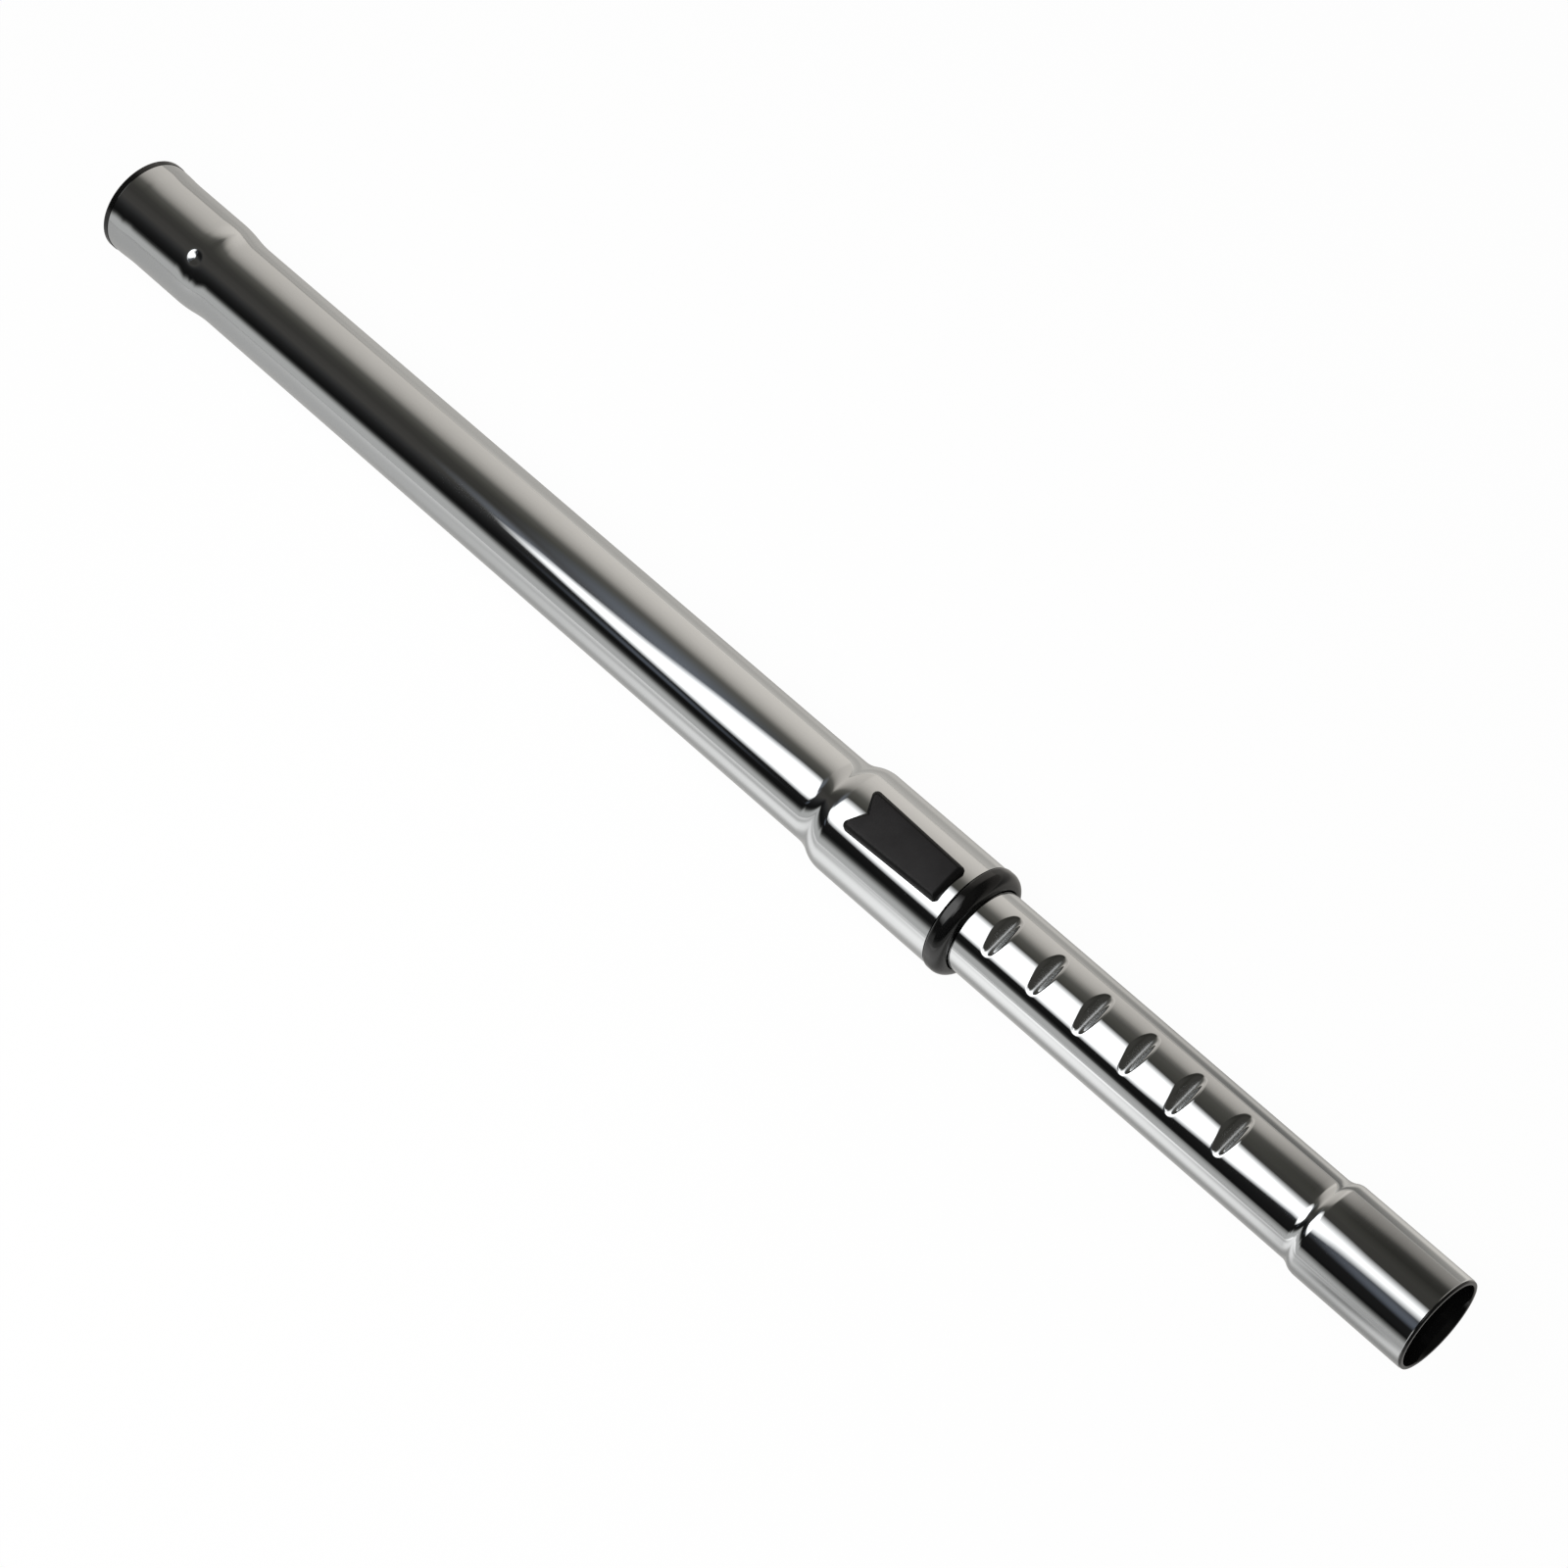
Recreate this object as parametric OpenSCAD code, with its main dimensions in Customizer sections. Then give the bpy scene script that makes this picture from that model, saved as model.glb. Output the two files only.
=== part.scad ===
// Telescopic vacuum extension wand for the 35 mm tube system, chrome-plated steel.
// It lies along X with the release button up. The origin is the centre of the upper mouth,
// where the handle plugs in, and X runs towards the end that carries the floor head.

/* [System] */
// Nominal diameter of the joints, which is the outside of the lower spigot
system_d = 35; // [34.6:0.1:35.4]
// Extra width of the upper socket over the nominal diameter
socket_play = 0.2; // [0.1:0.05:0.4]

/* [Outer tube] */
// Outside diameter of the plain outer tube
outer_od = 33.7; // [33.3:0.1:34.3]
// Wall of the outer tube
outer_wall = 0.6; // [0.5:0.05:0.7]
// Length of the widened mouth that holds the upper end ring
mouth_len = 4.6; // [3.5:0.1:7]
// Straight length of the upper socket, from the upper end
socket_len = 38; // [32:0.5:45]
// Length of the taper from the socket down to the plain tube
socket_taper_len = 16.5; // [12:0.5:22]
// Length of the plain stretch between the taper and the sleeve's flare
plain_len = 306; // [290:1:330]
// Length of the flare up to the sleeve
flare_len = 12.3; // [10:0.1:16]
// Step from the plain outer tube out to the sleeve that holds the lock, each side
sleeve_rise = 3.15; // [3:0.05:3.5]
// Length of the straight sleeve
sleeve_len = 50.2; // [49:0.1:54]
// Distance of the pressed dimple from the upper end
dimple_pos = 43.2; // [41.5:0.1:46]
// Radius of the ball that presses the dimple
dimple_ball_r = 4; // [3:0.1:5]
// Depth of the dimple
dimple_depth = 1; // [0.6:0.1:1.3]
// Turn of the dimple about the tube, from the top towards the near side
dimple_turn = 21; // [0:1:40]

/* [Inner tube] */
// Gap between the inner and outer tubes, each side
tube_gap = 0.45; // [0.35:0.05:0.5]
// Wall of the inner tube
inner_wall = 0.6; // [0.5:0.05:0.7]
// Length of plain inner tube that shows between the sleeve and the lower flare
visible_len = 152.3; // [150:0.1:170]
// Length of inner tube behind the sleeve's end
hidden_len = 173; // [165:1:180]
// Length of the flare up to the lower spigot
spigot_flare_len = 6.2; // [5:0.1:10]
// Length of the lower spigot
spigot_len = 44.5; // [38:0.5:55]
// Length of the necked seat for the rear guide
neck_len = 24; // [20:0.5:28]
// Depth of the neck under the plain inner tube
neck_depth = 0.8; // [0.6:0.1:1]
// Width of the anti-turn groove along the underside
groove_w = 4; // [3:0.1:5]
// Depth of the anti-turn groove
groove_depth = 1; // [0.7:0.1:1.2]

/* [Notches] */
// Distance from one locking notch to the next
notch_pitch = 20; // [19:0.1:20.4]
// Depth of a locking notch
notch_depth = 2.2; // [1.8:0.1:2.4]
// Number of notches that the tube can slide in by
notches_in = 7; // [5:1:7]
// Number of notches that the tube can slide out by
notches_out = 5; // [3:1:5]
// Distance of the locking roller from the sleeve's end
roller_back = 21; // [20:0.1:23]

/* [Lock] */
// Diameter of the locking roller
roller_d = 4.6; // [4.2:0.1:4.8]
// Length of the locking roller
roller_len = 10.4; // [9:0.1:10.8]
// Small gap round the roller, the springs, the pegs and the snap beads
small_play = 0.1; // [0.06:0.01:0.14]
// Gap left under the lifted roller
lift_play = 0.15; // [0.1:0.05:0.25]
// Travel of the button towards the collar
button_travel = 3.4; // [3:0.1:3.4]
// Length of the carriage under the button
carriage_len = 20; // [18:0.5:22]
// Width of the carriage's neck through the window
neck_w = 12.2; // [11.8:0.1:12.6]
// Width of the carriage's saddle under the sleeve
saddle_w = 18; // [17:0.5:19]
// Gap between the carriage and what it slides in
slide_play = 0.2; // [0.15:0.01:0.3]

/* [Button] */
// Length of the button cap from tail tip to low end
cap_len = 41.2; // [39:0.1:41.4]
// Width of the cap at its swallow tail
cap_tail_w = 16.2; // [15.6:0.1:17]
// Width of the cap at its low end
cap_end_w = 14.4; // [14:0.1:15.4]
// Depth of the swallow tail
cap_tail_depth = 3.6; // [2:0.1:5]
// Height of the cap above the sleeve
cap_height = 2.25; // [2:0.05:2.6]
// Width of the bevel round the top of the cap
cap_bevel = 0.7; // [0.4:0.1:1]
// Gap between the cap and the sleeve it rides on
cap_play = 0.15; // [0.1:0.05:0.3]

/* [Guides and rings] */
// Running gap of the plastic guides on the tubes
running_gap = 0.07; // [0.04:0.01:0.1]
// Gap of the guide bush in the sleeve
bush_play = 0.1; // [0.06:0.01:0.15]
// Wall of the guide bush under the carriage
bush_floor = 1.73; // [1.5:0.01:1.8]
// How far the black collar stands proud of the sleeve
collar_proud = 0.45; // [0.3:0.05:0.8]
// Length of the collar past the sleeve's end
collar_len = 8.8; // [8:0.1:10]
// Radius of the collar's rounded nose
collar_round = 4; // [3:0.1:4.4]
// Gap between the collar's lip and the inner tube
collar_gap = 0.3; // [0.2:0.05:0.5]
// Length of the felt wiper in the collar
wiper_len = 3.4; // [2.5:0.1:4]
// Length of the visible lip of the upper end ring
end_ring_len = 1.8; // [1.4:0.1:2.5]
// How far the upper end ring stands proud of the widened mouth
end_ring_proud = 0.2; // [0.1:0.05:0.4]
// Wall of the upper end ring's skirt inside the mouth
skirt_wall = 0.38; // [0.3:0.01:0.45]
// Length of the lower liner inside the spigot
liner_len = 13; // [10:0.5:18]
// Wall of the lower liner
liner_wall = 1; // [0.8:0.1:1.2]

/* [Springs] */
// Wire of the button's return springs
spring_wire = 0.3; // [0.25:0.05:0.45]
// Outside diameter of the return springs
spring_od = 2.2; // [2:0.1:2.3]
// Number of turns of each return spring
spring_turns = 12; // [9:1:13]
// Length of each return spring at rest
spring_len = 15; // [14:0.1:16]

/* [Hidden] */
$fn = 96;

// A fit that is only just free, the eased edge of a turned or moulded piece, and the
// overlap of a cutting tool past the face it cuts
seat = 0.02;
ease = 0.3;
cut = 1;

// Radii of the outer tube
outer_r = outer_od / 2;
socket_r = (system_d + socket_play) / 2 + outer_wall;
mouth_r = socket_r + skirt_wall + seat;
sleeve_r = outer_r + sleeve_rise;
bore_r = outer_r - outer_wall;
sleeve_bore_r = sleeve_r - outer_wall;

// Stations along the outer tube
mouth_end = end_ring_len + mouth_len;
mouth_step = 1.6;
taper_end = socket_len + socket_taper_len;
flare_start = taper_end + plain_len;
flare_end = flare_start + flare_len;
sleeve_end = flare_end + sleeve_len;

// Radii and stations of the inner tube
inner_r = bore_r - tube_gap;
inner_bore_r = inner_r - inner_wall;
neck_r = inner_r - neck_depth;
spigot_r = system_d / 2;
rear_end = sleeve_end - hidden_len;
neck_end = rear_end + neck_len;
spigot_flare = sleeve_end + visible_len;
spigot_start = spigot_flare + spigot_flare_len;
lower_end = spigot_start + spigot_len;
rim_len = 0.8;
spigot_end = lower_end - rim_len;
neck_step = 2;

// The locking stack: roller in its notch, lifted roller, cam slope
roller_r = roller_d / 2;
roller_x = sleeve_end - roller_back;
roller_z = inner_r - notch_depth + roller_r + small_play;
lift = notch_depth + lift_play - small_play;
notch_r = roller_r + small_play;
pocket_half = roller_len / 2 + slide_play;
groove_r = (pow(groove_w / 2, 2) + pow(groove_depth, 2)) / (2 * groove_depth);
groove_start = neck_end + 4;
groove_end = spigot_flare - 6;

// The guide bush and the carriage that slides on it
bush_bore_r = inner_r + running_gap;
bush_r = sleeve_bore_r - bush_play;
floor_r = bush_bore_r + bush_floor;
carriage_in_r = floor_r + slide_play;
carriage_out_r = sleeve_bore_r - slide_play;
carriage_start = roller_x - carriage_len / 2 - 1;
carriage_end = carriage_start + carriage_len;
heel_len = 6;
heel_half = 12.4;
heel_in_r = bush_bore_r + 0.9;
heel_end = carriage_start + heel_len;
window_half = neck_w / 2 + slide_play;
window_start = carriage_start - slide_play;
window_end = carriage_end + button_travel + slide_play;
window_round = 1.5;

// The bush's length, its nose in the collar and its latch in the sleeve
bush_start = flare_end + 1.2;
bush_end = sleeve_end - 5.5;
nose_r = bush_bore_r + 1.65;
nose_end = sleeve_end + 0.4;
bead_x = (bush_end + sleeve_end) / 2;
bead_h = 0.3;
bead_half = 0.6;
latch_r = 2.5;
latch_inset = 21;
latch_x = bush_start + latch_inset;
rib_inset = 5;

// The springs lie in channels either side of the carriage
spring_turn = 35;
channel_r = spring_od / 2 + slide_play;
spring_path_r = carriage_out_r - channel_r;
spring_start = heel_end + small_play;
spring_stop = spring_start + spring_len;
channel_end = spring_stop + small_play;

// The cap sits on the sleeve and is pegged to the carriage
cap_in_r = sleeve_r + cap_play;
cap_out_r = cap_in_r + cap_height;
cap_end = sleeve_end - button_travel - 0.4;
cap_start = cap_end - cap_len;
cap_round = 1.2;
tip_round = 0.5;
peg_r = 1.2;
peg_top = cap_out_r - 0.9;
peg_seat = 0.5;
peg_rear_x = carriage_start + 2;
peg_front_x = carriage_end - 2.4;

// Rear guide and its seal, on the inner tube's necked end
guide_r = bore_r - running_gap;
guide_flange = 2;
guide_bore_r = neck_r + seat;
seal_groove = 2.4;
seal_inset = 5;
seal_x = rear_end + seal_inset;
seal_floor_r = guide_r - 0.75;
lug_r = 2.4;
lug_inset = 14;
lug_x = rear_end + lug_inset;

// Points of a smooth S from (x0, r0) to (x1, r1), two equal arcs, moved inwards by off
function s_curve(x0, r0, x1, r1, off = 0, n = 10) =
    let (rise = abs(r1 - r0), run = x1 - x0, up = sign(r1 - r0))
    let (arc_r = (run * run + rise * rise) / (4 * rise))
    let (sweep = 2 * atan(rise / run))
    concat(
        [for (i = [0:n]) let (a = sweep * i / n)
            [x0 + (arc_r + up * off) * sin(a), r0 + up * arc_r - up * (arc_r + up * off) * cos(a)]],
        [for (i = [1:n]) let (a = sweep * (1 - i / n))
            [x1 - (arc_r - up * off) * sin(a), r1 - up * arc_r + up * (arc_r - up * off) * cos(a)]]);

// Points of an arc about (x, r) from one angle to another
function arc(x, r, rad, from, to, n = 8) =
    [for (i = [0:n]) let (a = from + (to - from) * i / n) [x + rad * cos(a), r + rad * sin(a)]];

// Turns a profile drawn as (station, radius) about the X axis
module turned(points) {
    rotate([90, 0, 90])
        rotate_extrude()
            polygon([for (p = points) [p[1], p[0]]]);
}

// A rod along X
module rod(r, x0, x1) {
    translate([x0, 0, 0])
        rotate([0, 90, 0])
            cylinder(r = r, h = x1 - x0);
}

// A rod along Y, centred on the XZ plane
module cross_rod(r, x, z, half) {
    translate([x, half, z])
        rotate([90, 0, 0])
            cylinder(r = r, h = 2 * half);
}

// A ring about X between two radii and two stations
module ring(r_in, r_out, x0, x1) {
    difference() {
        rod(r_out, x0, x1);
        rod(r_in, x0 - cut, x1 + cut);
    }
}

// A box given by its lowest and highest corners
module block(low, high) {
    translate(low)
        cube(high - low);
}

// The top part of a ring about X, cut off at half a width to each side
module saddle(r_in, r_out, x0, x1, half) {
    intersection() {
        ring(r_in, r_out, x0, x1);
        block([x0, -half, 0], [x1, half, r_out]);
    }
}

// The pressing tool of one locking notch: a round bottom with flanks at 45 degrees.
// grow is 0 for the outside of the tube and the wall for the bulge inside it.
module notch_tool(x, grow) {
    rad = notch_r + grow;
    centre_z = inner_r - notch_depth + notch_r;
    top = inner_r + cut - centre_z;
    flank = rad * sin(45) + rad * cos(45) + top;
    bottom = arc(0, 0, rad, 225, 315);
    outline = concat(bottom, [[flank, top], [-flank, top]]);
    translate([x, inner_r, centre_z])
        rotate([90, 0, 0])
            linear_extrude(2 * inner_r)
                polygon(outline);
}

module notches(grow) {
    for (i = [-notches_out:notches_in])
        notch_tool(roller_x + i * notch_pitch, grow);
}

// The anti-turn groove along the underside, as a round bar sunk into the tube
module groove_tool(grow) {
    translate([0, 0, -inner_r + groove_depth - groove_r])
        rod(groove_r + grow, groove_start, groove_end);
}

// The space that the roller sweeps in the carriage as the button slides
module cam_slot(half) {
    slope = atan(lift / button_travel);
    path = sqrt(lift * lift + button_travel * button_travel);
    cross_rod(notch_r, roller_x, roller_z, half);
    cross_rod(notch_r, roller_x - button_travel, roller_z + lift, half);
    translate([roller_x, 0, roller_z])
        rotate([0, slope, 0])
            translate([-path, -half, -notch_r])
                cube([path, 2 * half, 2 * notch_r]);
}

// An upright block with round corners, for the sleeve's window and the neck that fills it
module round_block(x0, x1, half, r, top) {
    translate([0, 0, sleeve_bore_r / 2])
        linear_extrude(top - sleeve_bore_r / 2)
            union() {
                translate([x0 + r, -half])
                    square([x1 - x0 - 2 * r, 2 * half]);
                translate([x0, -half + r])
                    square([x1 - x0, 2 * half - 2 * r]);
                for (x = [x0 + r, x1 - r], y = [-half + r, half - r])
                    translate([x, y])
                        circle(r, $fn = 48);
            }
}

module outer_tube() {
    outside = concat(
        [[end_ring_len, mouth_r - ease], [end_ring_len + ease, mouth_r]],
        s_curve(mouth_end, mouth_r, mouth_end + mouth_step, socket_r, 0, 4),
        s_curve(socket_len, socket_r, taper_end, outer_r),
        s_curve(flare_start, outer_r, flare_end, sleeve_r),
        [[sleeve_end, sleeve_r], [sleeve_end, 0], [end_ring_len, 0]]);
    inside = concat(
        [[0, mouth_r - outer_wall]],
        s_curve(mouth_end, mouth_r, mouth_end + mouth_step, socket_r, outer_wall, 4),
        s_curve(socket_len, socket_r, taper_end, outer_r, outer_wall),
        s_curve(flare_start, outer_r, flare_end, sleeve_r, outer_wall),
        [[sleeve_end + cut, sleeve_bore_r], [sleeve_end + cut, 0], [0, 0]]);
    ball_r = socket_r - dimple_depth + dimple_ball_r;
    color("gainsboro")
        difference() {
            turned(outside);
            rotate([dimple_turn, 0, 0])
                translate([dimple_pos, 0, ball_r])
                    sphere(dimple_ball_r);
            difference() {
                turned(inside);
                rotate([dimple_turn, 0, 0])
                    translate([dimple_pos, 0, ball_r])
                        sphere(dimple_ball_r + outer_wall);
            }
            round_block(window_start, window_end, window_half, window_round, sleeve_r + cut);
            translate([latch_x, 0, -sleeve_r - cut])
                cylinder(r = latch_r + small_play, h = 2 * cut + outer_wall + cut);
        }
}

module inner_tube() {
    outside = concat(
        [[rear_end, 0], [rear_end, neck_r]],
        s_curve(neck_end, neck_r, neck_end + neck_step, inner_r, 0, 4),
        s_curve(spigot_flare, inner_r, spigot_start, spigot_r),
        [[spigot_end - ease, spigot_r], [spigot_end, spigot_r - ease], [spigot_end, 0]]);
    inside = concat(
        [[rear_end - cut, 0], [rear_end - cut, neck_r - inner_wall]],
        s_curve(neck_end, neck_r, neck_end + neck_step, inner_r, inner_wall, 4),
        s_curve(spigot_flare, inner_r, spigot_start, spigot_r, inner_wall),
        [[spigot_end + cut, spigot_r - inner_wall], [spigot_end + cut, 0]]);
    color("gainsboro")
        difference() {
            turned(outside);
            notches(0);
            groove_tool(0);
            difference() {
                turned(inside);
                notches(inner_wall);
                groove_tool(inner_wall);
            }
            cross_rod(lug_r + seat, lug_x, 0, inner_r);
        }
}

// Black ring over the raw edge of the upper mouth, with a thin skirt inside it
module upper_end_ring() {
    top = mouth_r + end_ring_proud;
    skirt_r = mouth_r - outer_wall - seat;
    skirt_end = mouth_end + mouth_step - ease;
    bore = skirt_r - skirt_wall;
    lip = 0.7;
    color("#141414")
        turned(concat(
            [[skirt_end, bore], [mouth_end - ease, skirt_r]],
            [[end_ring_len - seat, skirt_r], [end_ring_len - seat, top]],
            arc(lip, top - lip, lip, 90, 180, 5),
            [[0, bore + ease], [ease, bore]]));
}

// Black liner inside the spigot, with a lip over the tube's raw edge
module lower_end_ring() {
    skirt_r = spigot_r - inner_wall - seat;
    bore = skirt_r - liner_wall;
    flange_r = spigot_r - end_ring_proud;
    color("#141414")
        turned([
            [lower_end - liner_len, skirt_r - ease],
            [lower_end - liner_len + 2 * ease, skirt_r],
            [spigot_end + seat, skirt_r],
            [spigot_end + seat, flange_r],
            [lower_end - ease, flange_r],
            [lower_end, flange_r - ease],
            [lower_end, bore + ease],
            [lower_end - ease, bore],
            [lower_end - liner_len, bore]]);
}

// Glossy black collar that closes the sleeve, snapped over the bush's nose
module end_collar() {
    top = sleeve_r + collar_proud;
    front = sleeve_end + collar_len;
    lip_r = inner_r + collar_gap;
    rear = sleeve_end + seat;
    spigot_x = bush_end + bush_play;
    seat_r = nose_r + bush_play;
    seat_end = nose_end + wiper_len + 2 * bush_play;
    rear_round = 0.6;
    snap = bead_half + bush_play;
    color("#101010")
        difference() {
            turned(concat(
                [[spigot_x, lip_r], [spigot_x, bush_r], [rear, bush_r]],
                arc(rear + rear_round, top - rear_round, rear_round, 180, 90, 4),
                arc(front - collar_round, top - collar_round, collar_round, 90, 0, 12),
                [[front - ease, lip_r]]));
            rod(seat_r, bush_end, seat_end);
            turned([
                [bead_x - snap, seat_r - bush_play],
                [bead_x - snap / 2, seat_r + bead_h],
                [bead_x + snap / 2, seat_r + bead_h],
                [bead_x + snap, seat_r - bush_play]]);
        }
}

// Felt ring that wipes the inner tube
module wiper_seal() {
    start = nose_end + bush_play;
    color("#2a2a2c")
        ring(inner_r + running_gap, nose_r, start, start + wiper_len);
}

// Plastic bush that carries the lock and guides the inner tube in the sleeve
module guide_bush() {
    pocket_x = roller_r + small_play;
    heel_travel_end = heel_end + button_travel + slide_play;
    entry = 0.8;
    rib_start = bush_start + rib_inset;
    rib_end = bush_end - rib_inset;
    color("#d8d4c8")
        union() {
            difference() {
                turned([
                    [bush_start, bush_bore_r + ease],
                    [bush_start, bush_r - entry],
                    [bush_start + entry, bush_r],
                    [bush_end, bush_r],
                    [bush_end, nose_r],
                    [bead_x - bead_half, nose_r],
                    [bead_x - bead_half / 2, nose_r + bead_h],
                    [bead_x + bead_half / 2, nose_r + bead_h],
                    [bead_x + bead_half, nose_r],
                    [nose_end, nose_r],
                    [nose_end, bush_bore_r],
                    [bush_start + ease, bush_bore_r]]);
                saddle(floor_r, sleeve_r + cut, window_start, window_end, saddle_w / 2 + slide_play);
                saddle(heel_in_r - slide_play, sleeve_r + cut, window_start, heel_travel_end,
                    heel_half + slide_play);
                for (side = [-1, 1])
                    rotate([side * spring_turn, 0, 0]) {
                        translate([0, 0, spring_path_r])
                            rod(channel_r, heel_end, channel_end);
                        block([heel_end, -channel_r, spring_path_r],
                            [channel_end, channel_r, sleeve_r]);
                    }
                block([roller_x - pocket_x, -pocket_half, inner_r / 2],
                    [roller_x + pocket_x, pocket_half, sleeve_r]);
            }
            intersection() {
                translate([latch_x, 0, -sleeve_r - cut])
                    cylinder(r = latch_r, h = sleeve_r + cut - floor_r);
                rod(sleeve_r - seat, latch_x - 2 * latch_r, latch_x + 2 * latch_r);
            }
            intersection() {
                translate([0, 0, -inner_r + groove_depth - groove_r])
                    rod(groove_r - slide_play, rib_start, rib_end);
                ring(inner_bore_r, floor_r, rib_start, rib_end);
            }
        }
}

// Hardened steel roller that drops into a notch
module locking_roller() {
    color("silver")
        translate([roller_x, roller_len / 2, roller_z])
            rotate([90, 0, 0])
                rotate_extrude()
                    polygon([[0, 0], [roller_r - ease, 0], [roller_r, ease],
                        [roller_r, roller_len - ease], [roller_r - ease, roller_len],
                        [0, roller_len]]);
}

// Half of the cap's outline seen from above, on the far side of the wand
function half_outline() =
    let (tail = cap_tail_w / 2, low = cap_end_w / 2)
    concat(
        [[cap_start + cap_tail_depth, 0]],
        arc(cap_start + tip_round, tail - tip_round, tip_round, 200, 90, 4),
        arc(cap_end - cap_round, low - cap_round, cap_round, 90, 0, 5));

// Cuts the top edge away at 45 degrees on the left of the line from p to q
module bevel_tool(p, q) {
    step = q - p;
    wide = 2 * cap_height;
    translate(p)
        rotate([0, -atan2(step[2], norm([step[0], step[1]])), atan2(step[1], step[0])])
            rotate([45, 0, 0])
                translate([-cut, 0, -wide])
                    cube([norm(step) + 2 * cut, wide, 2 * wide]);
}

// The bevels of the far half of the cap: along its side, its tail and its low end
module half_bevels() {
    tail = cap_tail_w / 2 - cap_bevel;
    low = cap_end_w / 2 - cap_bevel;
    tail_z = sqrt(pow(cap_out_r, 2) - pow(tail, 2));
    low_z = sqrt(pow(cap_out_r, 2) - pow(low, 2));
    bevel_tool([cap_start, tail, tail_z], [cap_end, low, low_z]);
    bevel_tool([cap_start + cap_bevel + cap_tail_depth, 0, cap_out_r],
        [cap_start + cap_bevel, tail + cap_bevel, tail_z]);
    turned([
        [cap_end - cap_bevel, cap_out_r],
        [cap_end + cut, cap_out_r - cap_bevel - cut],
        [cap_end + cut, cap_out_r + cut],
        [cap_end - cap_bevel, cap_out_r + cut]]);
}

// Cap under the thumb, a curved shell that rides on the sleeve
module button_cap() {
    color("#2e2d2e")
        difference() {
            for (side = [0, 1])
                mirror([0, side, 0])
                    difference() {
                        intersection() {
                            rod(cap_out_r, cap_start - cut, cap_end + cut);
                            linear_extrude(cap_out_r + cut)
                                polygon(concat(half_outline(), [[cap_end, 0]]));
                        }
                        half_bevels();
                    }
            rod(cap_in_r, cap_start - 2 * cut, cap_end + 2 * cut);
            cam_slot(pocket_half);
            for (x = [peg_rear_x, peg_front_x])
                translate([x, 0, 0])
                    cylinder(r = peg_r + seat, h = peg_top + small_play);
        }
}

// Saddle under the sleeve that carries the cap and rides over the roller
module button_carriage() {
    neck_top = cap_in_r - 0.05;
    color("#e4e0d4")
        union() {
            difference() {
                union() {
                    saddle(carriage_in_r, carriage_out_r, carriage_start, carriage_end, saddle_w / 2);
                    intersection() {
                        ring(carriage_in_r, neck_top, carriage_start, carriage_end);
                        round_block(carriage_start, carriage_end, neck_w / 2,
                            window_round - slide_play, cap_out_r);
                    }
                    saddle(heel_in_r, carriage_out_r, carriage_start, heel_end, heel_half);
                }
                cam_slot(pocket_half);
            }
            for (x = [peg_rear_x, peg_front_x])
                translate([x, 0, neck_top - peg_seat])
                    cylinder(r = peg_r, h = peg_top - neck_top + peg_seat);
        }
}

// A closed-end coil along X, swept as a six-sided wire
function coil_x(t, turns, len, wire) =
    let (pitch = (len - 3 * wire) / (turns - 2))
    t < 1 ? wire / 2 + wire * t
    : t > turns - 1 ? len - wire / 2 - wire * (turns - t)
    : wire * 1.5 + (t - 1) * pitch;

module coil(len, od, wire, turns) {
    per_turn = 12;
    sides = 6;
    mean_r = (od - wire) / 2;
    count = turns * per_turn;
    points = [for (i = [0:count], j = [0:sides - 1])
        let (t = i / per_turn, a = 360 * t, b = 360 * j / sides)
        let (r = mean_r + wire / 2 * cos(b))
        [coil_x(t, turns, len, wire) + wire / 2 * sin(b), r * cos(a), r * sin(a)]];
    sides_faces = [for (i = [0:count - 1], j = [0:sides - 1], half = [0, 1])
        let (k = (j + 1) % sides, here = i * sides, next = here + sides)
        half == 0 ? [here + j, here + k, next + k] : [here + j, next + k, next + j]];
    first = [for (j = [sides - 1:-1:0]) j];
    last = [for (j = [0:sides - 1]) count * sides + j];
    polyhedron(points, concat([first], sides_faces, [last]), convexity = 10);
}

module return_spring(side) {
    color("silver")
        rotate([side * spring_turn, 0, 0])
            translate([spring_start, 0, spring_path_r])
                coil(spring_len, spring_od, spring_wire, spring_turns);
}

module return_spring_left() {
    return_spring(-1);
}

module return_spring_right() {
    return_spring(1);
}

// Plastic guide on the inner tube's rear end, which also stops the tube at full reach
module rear_guide() {
    inside_r = neck_r - inner_wall;
    entry = 0.8;
    start = rear_end - guide_flange;
    end = neck_end - 2 * ease;
    groove_half = seal_groove / 2;
    color("#d8d4c8")
        union() {
            turned([
                [start, inside_r],
                [start, guide_r - entry],
                [start + entry, guide_r],
                [seal_x - groove_half, guide_r],
                [seal_x - groove_half, seal_floor_r],
                [seal_x + groove_half, seal_floor_r],
                [seal_x + groove_half, guide_r],
                [end - ease, guide_r],
                [end, guide_r - ease],
                [end, guide_bore_r],
                [rear_end - seat, guide_bore_r],
                [rear_end - seat, inside_r]]);
            intersection() {
                cross_rod(lug_r, lug_x, 0, guide_bore_r + ease);
                ring(inside_r, guide_bore_r + ease, lug_x - 2 * lug_r, lug_x + 2 * lug_r);
            }
        }
}

// Rubber ring in the rear guide's groove
module rear_seal() {
    half = seal_groove / 2 - small_play;
    top = bore_r - 0.03;
    color("#1c1c1e")
        turned([
            [seal_x - half, seal_floor_r + seat],
            [seal_x - half, top - ease],
            [seal_x - half + 2 * ease, top],
            [seal_x + half - 2 * ease, top],
            [seal_x + half, top - ease],
            [seal_x + half, seal_floor_r + seat]]);
}

outer_tube();
inner_tube();
upper_end_ring();
lower_end_ring();
end_collar();
wiper_seal();
guide_bush();
locking_roller();
button_cap();
button_carriage();
return_spring_left();
return_spring_right();
rear_guide();
rear_seal();
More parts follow.
